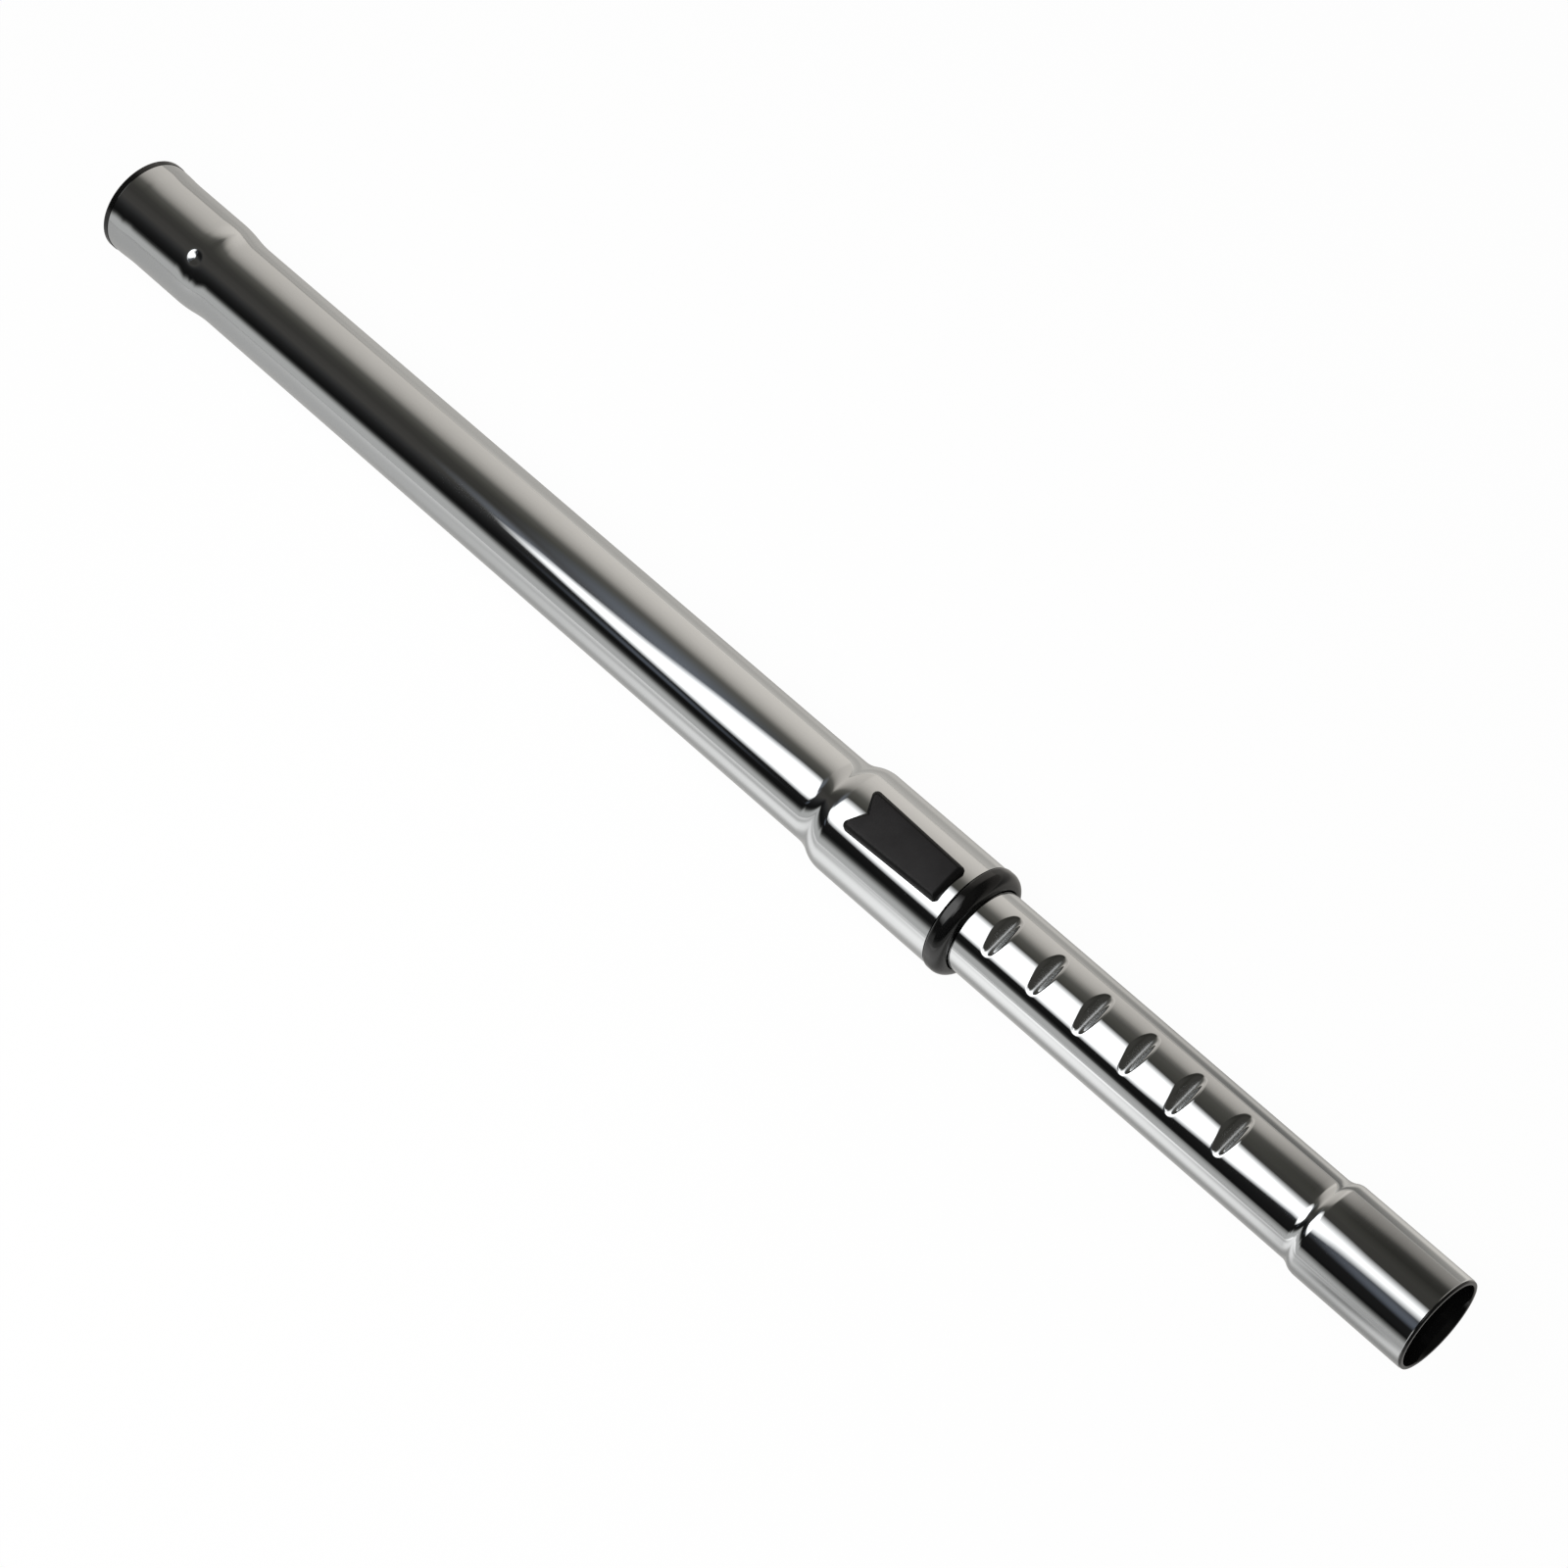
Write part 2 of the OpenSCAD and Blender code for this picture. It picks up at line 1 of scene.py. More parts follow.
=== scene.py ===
# %% [markdown]
# # A telescopic suction tube in Blender
# The real object is a chrome-plated steel wand for a vacuum cleaner: a thin outer tube that is
# swaged wider at both ends, an inner tube that slides in it and is pressed with a row of
# locking notches, a black release button, and black rings over the raw ends.
# The CAD model gives every form and size. This lesson gives it polished metal and moulded
# plastic, a studio for the metal to reflect, and the camera.

# %% Load the frame
import math

import bmesh
import bpy
from mathutils import Matrix, Vector


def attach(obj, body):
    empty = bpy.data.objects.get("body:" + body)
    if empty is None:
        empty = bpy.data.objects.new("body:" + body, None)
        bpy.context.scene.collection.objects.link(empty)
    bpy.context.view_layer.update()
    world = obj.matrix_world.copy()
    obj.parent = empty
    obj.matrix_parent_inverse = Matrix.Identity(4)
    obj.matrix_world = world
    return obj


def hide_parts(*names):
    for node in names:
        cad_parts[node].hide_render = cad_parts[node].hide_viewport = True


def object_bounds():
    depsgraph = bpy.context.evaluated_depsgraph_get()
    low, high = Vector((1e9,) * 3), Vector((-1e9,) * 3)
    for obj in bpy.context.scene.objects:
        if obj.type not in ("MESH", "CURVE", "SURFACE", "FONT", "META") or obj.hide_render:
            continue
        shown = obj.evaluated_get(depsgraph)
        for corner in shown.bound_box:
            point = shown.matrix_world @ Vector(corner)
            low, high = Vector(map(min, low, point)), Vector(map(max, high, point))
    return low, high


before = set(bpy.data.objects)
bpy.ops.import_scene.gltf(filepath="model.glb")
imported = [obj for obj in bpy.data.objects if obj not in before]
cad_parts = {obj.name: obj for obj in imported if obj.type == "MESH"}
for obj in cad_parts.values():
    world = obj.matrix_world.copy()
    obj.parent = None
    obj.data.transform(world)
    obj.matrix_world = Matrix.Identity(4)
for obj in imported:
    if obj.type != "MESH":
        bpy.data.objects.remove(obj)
cad_low, cad_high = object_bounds()
print("CAD box, mm:", [round(1000 * v, 2) for v in (*cad_low, *cad_high)])

# %% [markdown]
# Sizes are written in millimetres, as a workshop drawing has them, and turned to metres in one
# place. X runs along the wand from the centre of the upper mouth, and Z points up through the
# button. The radii and stations are the CAD model's own.

# %% Sizes of the real object
MM = 0.001
OUTER_R, SOCKET_R, MOUTH_R, SLEEVE_R = 16.85, 18.2, 18.6, 20.0
INNER_R, SPIGOT_R, NECK_R, WALL = 15.8, 17.5, 15.0, 0.6
SLEEVE_END, LOWER_END = 423.0, 626.0
NOTCHES = [302 + 20 * i for i in range(13)]


def to_linear(code):
    """Linear red, green, blue and alpha of an sRGB colour written as six hex digits."""
    parts = [int(code[i:i + 2], 16) / 255 for i in (0, 2, 4)]
    return [p / 12.92 if p <= 0.04045 else ((p + 0.055) / 1.055) ** 2.4 for p in parts] + [1.0]


# %% [markdown]
# ## Turned and drawn tubes
# A swaged tube is a surface of revolution. It could be a spun curve or a Screw modifier, but
# polished metal shows every facet, and the tubes have holes, notches and a groove in their
# walls. So each wall is a grid of points made in code: rings along the tube, once for the
# outside and once for the inside, joined at both ends.

# %% Helpers for profiles
def arc(x, r, rad, start, stop, n):
    """Points of an arc about (x, r), from one angle to another in degrees."""
    angles = [math.radians(start + (stop - start) * i / n) for i in range(n + 1)]
    return [(x + rad * math.cos(a), r + rad * math.sin(a)) for a in angles]


def swage(x0, r0, x1, r1, off=0.0, n=20):
    """Points of the smooth S that a swaging die leaves, two equal arcs, moved inwards by off."""
    rise, run, up = abs(r1 - r0), x1 - x0, 1 if r1 > r0 else -1
    arc_r = (run * run + rise * rise) / (4 * rise)
    sweep = 2 * math.atan(rise / run)
    points = []
    for i in range(n + 1):
        a = sweep * i / n
        points.append((x0 + (arc_r + up * off) * math.sin(a),
                       r0 + up * arc_r - up * (arc_r + up * off) * math.cos(a)))
    for i in range(1, n + 1):
        a = sweep * (1 - i / n)
        points.append((x1 - (arc_r - up * off) * math.sin(a),
                       r1 - up * arc_r + up * (arc_r - up * off) * math.cos(a)))
    return points


def circle_ring(x, r, n):
    """A ring of n points about the X axis, starting at the top and turning towards +Y."""
    turns = [2 * math.pi * j / n for j in range(n)]
    return [(x, r * math.sin(a), r * math.cos(a)) for a in turns]


# %% Helpers for meshes
def make_object(name, points, faces, limit=25):
    """A mesh object from points in millimetres, smooth up to edges of limit degrees."""
    mesh = bpy.data.meshes.new(name)
    mesh.from_pydata([[c * MM for c in p] for p in points], [], faces)
    bm = bmesh.new()
    bm.from_mesh(mesh)
    bmesh.ops.remove_doubles(bm, verts=bm.verts, dist=0.0005 * MM)
    bmesh.ops.recalc_face_normals(bm, faces=bm.faces)
    bm.to_mesh(mesh)
    bm.free()
    mesh.shade_smooth()
    mesh.set_sharp_from_angle(angle=math.radians(limit))
    obj = bpy.data.objects.new(name, mesh)
    bpy.context.scene.collection.objects.link(obj)
    print(name, "faces:", len(mesh.polygons))
    return obj


def note_depth(obj, depth_of):
    """Writes how deep a punch has pushed each point, in millimetres, for the finish to read."""
    pressed = obj.data.attributes.new("pressed", "FLOAT", "POINT")
    for vert, value in zip(obj.data.vertices, pressed.data):
        value.value = depth_of(*(c / MM for c in vert.co))


def wall_faces(outer, inner, open_quads):
    """Faces of a tube wall from matching rings, with the quads in open_quads left out."""
    rows, n = len(outer), len(outer[0])
    base = rows * n

    def at(i, j):
        return i * n + j % n

    faces = []
    for i in range(rows - 1):
        for j in range(n):
            if (i, j) in open_quads:
                for di, dj, a, b in ((-1, 0, (i, j), (i, j + 1)), (1, 0, (i + 1, j + 1), (i + 1, j)),
                                     (0, -1, (i + 1, j), (i, j)), (0, 1, (i, j + 1), (i + 1, j + 1))):
                    if (i + di, (j + dj) % n) not in open_quads:
                        p, q = at(*a), at(*b)
                        faces.append((q, p, p + base, q + base))
                continue
            quad = (at(i, j), at(i + 1, j), at(i + 1, j + 1), at(i, j + 1))
            faces.append(quad)
            faces.append(tuple(base + k for k in reversed(quad)))
    for i in (0, rows - 1):
        for j in range(n):
            faces.append((at(i, j), at(i, j + 1), base + at(i, j + 1), base + at(i, j)))
    return faces


def turned(name, profile, n=128):
    """A solid of revolution about X from a closed profile of (station, radius)."""
    rings = [circle_ring(x, r, n) for x, r in profile]
    rows = len(rings)
    faces = [((i * n + j), ((i + 1) % rows) * n + j, ((i + 1) % rows) * n + (j + 1) % n,
              i * n + (j + 1) % n) for i in range(rows) for j in range(n)]
    return make_object(name, [p for ring in rings for p in ring], faces)


# %% [markdown]
# ## The outer tube
# The outer tube is drawn steel, widened at the top into a socket for the handle and at the
# bottom into the sleeve that holds the lock. A ball-ended punch leaves one dimple, which stops
# the handle's spigot. Its rim is soft, because sheet steel never folds sharply, so the dimple
# is a smooth push of the grid's points and not a cut ball. The window under the button and the
# latch hole below are quads left out of the grid, with the wall's thickness closed round them.

# %% Outer tube
DIMPLE_X, DIMPLE_TURN, DIMPLE_DEPTH, DIMPLE_BALL = 43.8, math.radians(-19), 0.85, 4.4
DIMPLE_REACH, DIMPLE_SOFT = 5.0, 0.4
WINDOW = (390.8, 414.6, 6.3)
LATCH_X, LATCH_R = 395.0, 2.6


def dimple_push(x, angle, r):
    """How far a point of the socket is pushed inwards by the punch."""
    across = r * math.remainder(angle - DIMPLE_TURN, 2 * math.pi)
    rho = math.hypot(x - DIMPLE_X, across)
    if rho > DIMPLE_REACH:
        return 0.0
    d = DIMPLE_DEPTH - rho * rho / (2 * DIMPLE_BALL)
    soft = 0.5 * (d + math.hypot(d, DIMPLE_SOFT))
    return soft * min(1.0, (DIMPLE_REACH - rho) / 1.6)


def outer_profile(off):
    """Stations and radii of the outer tube's outside, or of its inside if off is the wall."""
    lip = [(1.8, MOUTH_R - off - (0 if off else 0.3)), (2.1, MOUTH_R - off)]
    step = swage(6.4, MOUTH_R, 8.0, SOCKET_R, off, 12) if off else \
        swage(2.6, MOUTH_R, 15.0, SOCKET_R, off, 12)
    sleeve = [372.8 + 17.0 * i / 8 for i in range(1, 8)]
    latch = [390.8 + 7.0 * i / 16 for i in range(17)]
    rest = [399.5, 402, 405, 408, 411, WINDOW[1], 416.5, 419, 421.5, SLEEVE_END]
    return (lip + step + swage(38, SOCKET_R, 54.5, OUTER_R, off, 30)
            + [(x, OUTER_R - off) for x in range(70, 360, 24)]
            + swage(360.5, OUTER_R, 372.8, SLEEVE_R, off, 14)
            + [(x, SLEEVE_R - off) for x in sleeve + latch + rest])


def make_outer_tube():
    n = 288
    outside, inside = outer_profile(0), outer_profile(WALL)
    rows = []
    for profile in (outside, inside):
        rings = []
        for x, r in profile:
            ring = []
            for j in range(n):
                a = 2 * math.pi * j / n
                rr = r - dimple_push(x, a, SOCKET_R)
                ring.append([x, rr * math.sin(a), rr * math.cos(a)])
            rings.append(ring)
        rows.append(rings)
    step = 2 * math.pi / n
    half = round(math.asin(WINDOW[2] / SLEEVE_R) / step)
    open_quads = set()
    for i in range(len(outside) - 1):
        mid = (outside[i][0] + outside[i + 1][0]) / 2
        for j in range(n):
            side = math.remainder((j + 0.5) * step, 2 * math.pi)
            if WINDOW[0] < mid < WINDOW[1] and abs(side) < half * step:
                open_quads.add((i, j))
            low = math.remainder(side - math.pi, 2 * math.pi) * SLEEVE_R
            if math.hypot(mid - LATCH_X, low) < LATCH_R and abs(side) > 2:
                open_quads.add((i, j))
    edge = set()
    for i, j in open_quads:
        for c in ((i, j), (i + 1, j), (i, j + 1), (i + 1, j + 1)):
            around = {(c[0] + a, (c[1] + b) % n) for a in (-1, 0) for b in (-1, 0)}
            if not around <= open_quads:
                edge.add((c[0], c[1] % n))
    for i, j in edge:
        a = 2 * math.pi * j / n
        if abs(math.remainder(a, 2 * math.pi)) < 2:
            continue
        for rings, r in ((rows[0], SLEEVE_R), (rows[1], SLEEVE_R - WALL)):
            dx = rings[i][j][0] - LATCH_X
            dy = -math.remainder(a - math.pi, 2 * math.pi) * SLEEVE_R
            k = LATCH_R / max(math.hypot(dx, dy), 1e-6)
            y = dy * k
            rings[i][j] = [LATCH_X + dx * k, y, -math.sqrt(r * r - y * y)]
    points = [p for rings in rows for ring in rings for p in ring]
    tube = make_object("outer_tube_wall", points, wall_faces(rows[0], rows[1], open_quads))
    note_depth(tube, lambda x, y, z: dimple_push(x, math.atan2(y, z), SOCKET_R))
    return tube


outer_tube = make_outer_tube()

# %% [markdown]
# ## The inner tube
# The notches are pressed straight down by a round-nosed punch, so each one is a straight trough
# across the tube, widest in the middle and pointed at both sides. A Boolean would cut it, but
# it leaves sharp edges and long thin faces that shade badly on a mirror. Pressed steel bends
# round its corners instead. So each point of the grid takes the lower of two heights, the tube's
# and the trough's, with a smooth change from one to the other. The groove on the underside,
# which stops the tube turning, is narrow and crisp, and gets its own points.

# %% Inner tube
NOTCH_FLOOR_Z, NOTCH_ROUND, NOTCH_FLANK = 13.6, 2.5, math.radians(60)
SHOULDER, SHOULDER_LEAST = 2.0, 0.35
GROOVE = (278.0, 569.3, 2.5, -17.3)


def notch_floor(x, grow):
    """Height of the trough's floor at a station, or of the bulge inside if grow is the wall."""
    a = min(abs(x - c) for c in NOTCHES)
    rad = NOTCH_ROUND + grow
    bend = rad * math.sin(NOTCH_FLANK)
    centre_z = NOTCH_FLOOR_Z + NOTCH_ROUND
    if a < bend:
        return centre_z - math.sqrt(rad * rad - a * a)
    return centre_z - rad * math.cos(NOTCH_FLANK) + (a - bend) * math.tan(NOTCH_FLANK)


def lower_of(p, q, soft):
    """The lower of two heights, rounded where they are within soft of each other."""
    h = max(soft - abs(p - q), 0.0) / soft
    return min(p, q) - h * h * soft / 4


def notched_ring(x, r, grow, grooved):
    """One ring: fine across the top where the notches are, coarse round the rest."""
    top, fine, coarse, low = math.radians(44), 60, 13, 8
    bar, bar_z = GROOVE[2] + grow, GROOVE[3]
    meet = (r * r + bar_z * bar_z - bar * bar) / (2 * -bar_z)
    end = math.acos(-meet / r)
    angles = [-top + 2 * top * k / fine for k in range(fine)]
    angles += [top + (end - top) * k / coarse for k in range(coarse)]
    angles += [end + 2 * (math.pi - end) * k / low for k in range(low)]
    angles += [2 * math.pi - end + (end - top) * k / coarse for k in range(coarse)]
    floor = notch_floor(x, grow)
    ring = []
    for k, a in enumerate(angles):
        y, z = r * math.sin(a), r * math.cos(a)
        if k <= fine:
            z = lower_of(z, floor, max(SHOULDER - y * y / 45, SHOULDER_LEAST))
        elif grooved and fine + coarse < k < fine + coarse + low:
            z = bar_z + math.sqrt(max(bar * bar - y * y, 0))
        ring.append((x, y, z))
    return ring


def inner_stations():
    """Stations of the straight inner tube, close together on the flanks of each notch."""
    stations = [276.0, 277.0, GROOVE[0], GROOVE[1], 571.0, 573.0, 552, 557, 562, 566]
    offsets = [0.32 * i for i in range(1, 16)] + [5.4]
    for c in NOTCHES:
        stations += [c] + [c + s for s in offsets] + [c - s for s in offsets]
    return sorted({round(s, 4) for s in stations if 275.9 < s < 575.3})


def make_inner_tube():
    def half(off):
        start = [(250.0, NECK_R - off)] + swage(274, NECK_R, 276, INNER_R, off, 4)
        flare = swage(575.3, INNER_R, 581.5, SPIGOT_R, off)
        end = [(x, SPIGOT_R - off) for x in (590, 600, 610, 620)]
        chamfer = 0 if off else 0.3
        return start, flare + end + [(624.9, SPIGOT_R - off), (625.2, SPIGOT_R - off - chamfer)]

    rows = []
    for off in (0.0, WALL):
        start, end = half(off)
        rings = [notched_ring(x, r, off, False) for x, r in start]
        for x in inner_stations():
            if x == GROOVE[0]:
                rings.append(notched_ring(x, INNER_R - off, off, False))
            rings.append(notched_ring(x, INNER_R - off, off, GROOVE[0] <= x <= GROOVE[1]))
            if x == GROOVE[1]:
                rings.append(notched_ring(x, INNER_R - off, off, False))
        rings += [notched_ring(x, r, off, False) for x, r in end]
        rows.append(rings)
    points = [p for rings in rows for ring in rings for p in ring]
    tube = make_object("inner_tube_wall", points, wall_faces(rows[0], rows[1], set()), 30)
    note_depth(tube, lambda x, y, z: max(INNER_R - math.hypot(y, z), 0)
               if z > 0 and NOTCHES[0] - 10 < x < NOTCHES[-1] + 10 else 0.0)
    return tube


inner_tube = make_inner_tube()

# %% [markdown]
# ## The black rings
# The collar, the ring over the upper edge and the liner in the lower mouth are injection
# moulded and then snapped in. They are lathe shapes, so a closed profile is turned for each.
# Their edges are rounded as a mould leaves them, because a gloss edge is seen by its glint. The
# collar's section is nearly half a torus, and it ends 7 mm past the sleeve.

# %% Collar, upper ring and lower liner
collar = turned("end_collar_moulding", (
    [(417.6, 17.62), (417.6, 19.3), (423.02, 19.3)]
    + arc(424.22, 19.25, 1.2, 180, 90, 8)
    + arc(425.75, 16.2, 4.25, 90, 0, 20)
    + [(429.7, 16.1), (427.0, 16.1), (427.0, 17.62)]), 160)

upper_ring = turned("upper_ring_moulding", (
    [(7.7, 17.6), (6.1, 17.98), (1.78, 17.98), (1.78, 18.61), (2.5, 18.61), (2.5, 18.74),
     (2.44, 18.8)]
    + arc(0.7, 18.1, 0.7, 90, 180, 8)
    + [(0.0, 17.9), (0.3, 17.6)]), 160)

lower_ring = turned("lower_liner_moulding", [
    (613.0, 16.58), (613.6, 16.88), (625.22, 16.88), (625.22, 17.3), (625.7, 17.3),
    (625.92, 17.21), (626.0, 17.0), (626.0, 16.18), (625.92, 15.97), (625.7, 15.88),
    (613.0, 15.88)], 160)

# %% [markdown]
# ## The button
# The cap is a small moulding that rides on the sleeve, with a swallow tail behind and a blunt
# end in front. Its foot follows the sleeve's curve, its sides slope in to a rounded edge, and its
# top is nearly flat, so it shows one even grey. Its border gets painted shade, a darker black, so
# that it draws a black line. The outline is drawn flat, stepped inwards level by level, and the
# foot is then bent over the sleeve. The top is cut into strips first, so that its slight crown is
# a true curve.

# %% Button cap
CAP = {"start": 378.0, "end": 419.2, "tail": 8.5, "low": 7.4, "dip": 3.6, "tip": 1.7,
       "corner": 0.9, "under": 20.15, "top": 22.4, "crown": 45.0}
CAP_EDGE = [(0.0, 1.5), (0.12, 1.0), (0.45, 0.62), (0.8, 0.32), (1.0, 0.17), (1.2, 0.07),
            (1.4, 0.02), (1.6, 0.0)]

# The lock's sizes, from the CAD model: the roller at rest, its lift, and the carriage's pegs.
ROLLER_X, ROLLER_Z, ROLLER_GAP, POCKET_HALF = 402.0, 16.0, 2.4, 5.4
BUTTON_TRAVEL, ROLLER_LIFT = 3.4, 2.25
PEGS, PEG_HOLE, PEG_TOP = (393.0, 408.6), 1.22, 21.6


def cap_outline(inset):
    """The cap seen from above, moved inwards by inset."""
    tail, low = CAP["tail"] - inset, CAP["low"] - inset
    x0, x1 = CAP["start"] + 0.9 * inset, CAP["end"] - inset
    tip, corner = max(CAP["tip"] - 0.5 * inset, 0.2), max(CAP["corner"] - 0.5 * inset, 0.2)
    half = [(CAP["start"] + CAP["dip"] + inset * 1.1, 0.0)]
    half += arc(x0 + tip, tail - tip, tip, 205, 90, 8)
    half += arc(x1 - corner, low - corner, corner, 90, 0, 8)
    return half + [(x, -y) for x, y in reversed(half[1:])]


def roller_pocket():
    """Corners of the slanted slot that the lifted roller rises into under the cap."""
    ends = ((ROLLER_X, ROLLER_Z), (ROLLER_X - BUTTON_TRAVEL, ROLLER_Z + ROLLER_LIFT))
    return [(px, y, pz) for x, z in ends for px, pz in arc(x, z, ROLLER_GAP, 0, 350, 35)
            for y in (-POCKET_HALF, POCKET_HALF)]


def peg_hole(x):
    """Corners of a blind hole for one of the carriage's pegs."""
    return [(px, py, z) for px, py in arc(x, 0, PEG_HOLE, 0, 345, 23)
            for z in (ROLLER_Z, PEG_TOP)]


def cut_hulls(obj, hulls):
    """Cuts the convex hull of each list of points out of an object."""
    tools = []
    for points in hulls:
        bm = bmesh.new()
        for point in points:
            bm.verts.new([c * MM for c in point])
        bmesh.ops.convex_hull(bm, input=bm.verts[:])
        mesh = bpy.data.meshes.new("cap_tool")
        bm.to_mesh(mesh)
        bm.free()
        tools.append(bpy.data.objects.new("cap_tool", mesh))
        bpy.context.scene.collection.objects.link(tools[-1])
        cut = obj.modifiers.new("cut", "BOOLEAN")
        cut.object, cut.operation, cut.solver = tools[-1], "DIFFERENCE", "EXACT"
    graph = bpy.context.evaluated_depsgraph_get()
    shape = bpy.data.meshes.new_from_object(obj.evaluated_get(graph))
    obj.modifiers.clear()
    obj.data = shape
    for tool in tools:
        bpy.data.objects.remove(tool)


def make_cap():
    """The cap, with its textured top as material 0 and its border, painted darker as shade, as
    material 1.
    """
    levels = [(0.0, None)] + CAP_EDGE
    bm = bmesh.new()
    rings = [[bm.verts.new((x, y, k)) for x, y in cap_outline(inset)]
             for k, (inset, _) in enumerate(levels)]
    count = len(rings[0])
    for low, high in zip(rings, rings[1:]):
        for k in range(count):
            bm.faces.new((low[k], low[(k + 1) % count], high[(k + 1) % count], high[k]))
    bm.faces.new(list(reversed(rings[0])))
    bm.faces.new(rings[-1])
    for k in range(-19, 20):
        bmesh.ops.bisect_plane(bm, geom=bm.verts[:] + bm.edges[:] + bm.faces[:],
                               plane_co=(0, 0.4 * k, 0), plane_no=(0, 1, 0), dist=1e-5)
    for v in bm.verts:
        drop = levels[round(v.co.z)][1]
        if drop is None:
            v.co.z = math.sqrt(CAP["under"] ** 2 - v.co.y ** 2)
        else:
            v.co.z = CAP["top"] - v.co.y ** 2 / (2 * CAP["crown"]) - drop
    bmesh.ops.triangulate(bm, faces=[f for f in bm.faces if len(f.verts) > 4])
    bm.verts.index_update()
    points = [tuple(v.co) for v in bm.verts]
    faces = [tuple(v.index for v in f.verts) for f in bm.faces]
    bm.free()
    obj = make_object("button_cap_moulding", points, faces, 35)
    cut_hulls(obj, [roller_pocket()] + [peg_hole(x) for x in PEGS])
    for face in obj.data.polygons:
        corners = [obj.data.vertices[k].co / MM for k in face.vertices]
        drop = max(CAP["top"] - c.y ** 2 / (2 * CAP["crown"]) - c.z for c in corners)
        face.material_index = 0 if drop < 0.01 else 1
    print("button cap faces with its pocket:", len(obj.data.polygons))
    return obj


cap = make_cap()

# %% [markdown]
# ## One function for nodes
# Every material below is a small graph. One function adds a node, sets its properties and
# sockets, and links what feeds it. Names in capitals are sockets, numbers are sockets by
# place, and the rest are the node's own properties.

# %% Node helper
def add(tree, kind, links=None, **settings):
    """Adds a node; capitalised settings and those in links are sockets."""
    node = tree.nodes.new("ShaderNode" + kind)
    for key, value in settings.items():
        if key[0].isupper():
            node.inputs[key.replace("_", " ")].default_value = value
        elif key[0] == "i" and key[1:].isdigit():
            node.inputs[int(key[1:])].default_value = value
        else:
            setattr(node, key, value)
    for key, socket in (links or {}).items():
        tree.links.new(socket, node.inputs[key])
    return node


def new_material(name, **surface):
    """A material with one Principled shader. Returns the material, its tree and the shader."""
    mat = bpy.data.materials.new(name)
    mat.use_nodes = True
    tree = mat.node_tree
    shader = tree.nodes["Principled BSDF"]
    for key, value in surface.items():
        shader.inputs[key.replace("_", " ")].default_value = value
    return mat, tree, shader


# %% [markdown]
# ## Chrome plate
# Chromium on nickel on steel: a true mirror with a faintly blue-grey reflectance near 64 %.
# Its form comes from the tube under it, so the mirror wanders very slightly: a drawn tube has
# shallow waves a few centimetres long. The buffing wheel leaves lines round the tube about
# 0.3 mm apart, too shallow to see singly, which only soften the mirror in patches. The wheel
# doesn't reach into the press marks, so the plate stays duller there the deeper they are: the
# meshes carry that depth, and the notches show a soft grey where the tube shows pure white.

# %% Chrome material
def chrome_plate():
    mat, tree, shader = new_material("chrome plate, buffed", Base_Color=to_linear("D0D2D3"),
                                     Metallic=1.0, Roughness=0.05)
    place = add(tree, "TexCoord").outputs["Object"]
    waves = add(tree, "Mapping", {"Vector": place}, Scale=(28, 70, 70))
    wave = add(tree, "TexNoise", {"Vector": waves.outputs[0]}, Scale=1.0, Detail=1.0)
    lines = add(tree, "Mapping", {"Vector": place}, Scale=(3300, 60, 60))
    line = add(tree, "TexNoise", {"Vector": lines.outputs[0]}, Scale=1.0, Detail=2.0)
    haze = add(tree, "TexNoise", {"Vector": place}, Scale=45.0, Detail=3.0)
    mixed = add(tree, "Math", {0: line.outputs[0], 1: haze.outputs[0]}, operation="MULTIPLY")
    rough = add(tree, "MapRange", {"Value": mixed.outputs[0]}, From_Min=0.1, From_Max=0.45,
                To_Min=0.02, To_Max=0.075)
    bump = add(tree, "Bump", {"Height": wave.outputs[0]}, Strength=0.5, Distance=0.00006)
    press = add(tree, "Attribute", attribute_name="pressed").outputs["Fac"]
    dull = add(tree, "MapRange", {"Value": press}, From_Min=0.3, From_Max=1.6, To_Max=0.2)
    total = add(tree, "Math", {0: rough.outputs[0], 1: dull.outputs[0]})
    tree.links.new(total.outputs[0], shader.inputs["Roughness"])
    tree.links.new(bump.outputs[0], shader.inputs["Normal"])
    return mat


chrome = chrome_plate()

# %% [markdown]
# ## Black plastics
# The rings are black ABS from a polished mould: a deep black with a clear gloss and the very
# shallow ripple called orange peel, a few millimetres across. The cap is the same plastic from
# a spark-eroded mould, whose pits, about 0.3 mm across, scatter the light to a dark grey.

# %% Black ABS, glossy and textured
def gloss_abs():
    mat, tree, shader = new_material("black ABS, polished mould", Base_Color=to_linear("0D0D0D"),
                                     Roughness=0.1, IOR=1.54, Specular_IOR_Level=0.4)
    place = add(tree, "TexCoord").outputs["Object"]
    peel = add(tree, "TexNoise", {"Vector": place}, Scale=350.0, Detail=1.0)
    dust = add(tree, "TexNoise", {"Vector": place}, Scale=900.0, Detail=4.0)
    rough = add(tree, "MapRange", {"Value": dust.outputs[0]}, From_Min=0.35, From_Max=0.75,
                To_Min=0.03, To_Max=0.09)
    bump = add(tree, "Bump", {"Height": peel.outputs[0]}, Strength=0.4, Distance=0.00003)
    tree.links.new(rough.outputs[0], shader.inputs["Roughness"])
    tree.links.new(bump.outputs[0], shader.inputs["Normal"])
    return mat


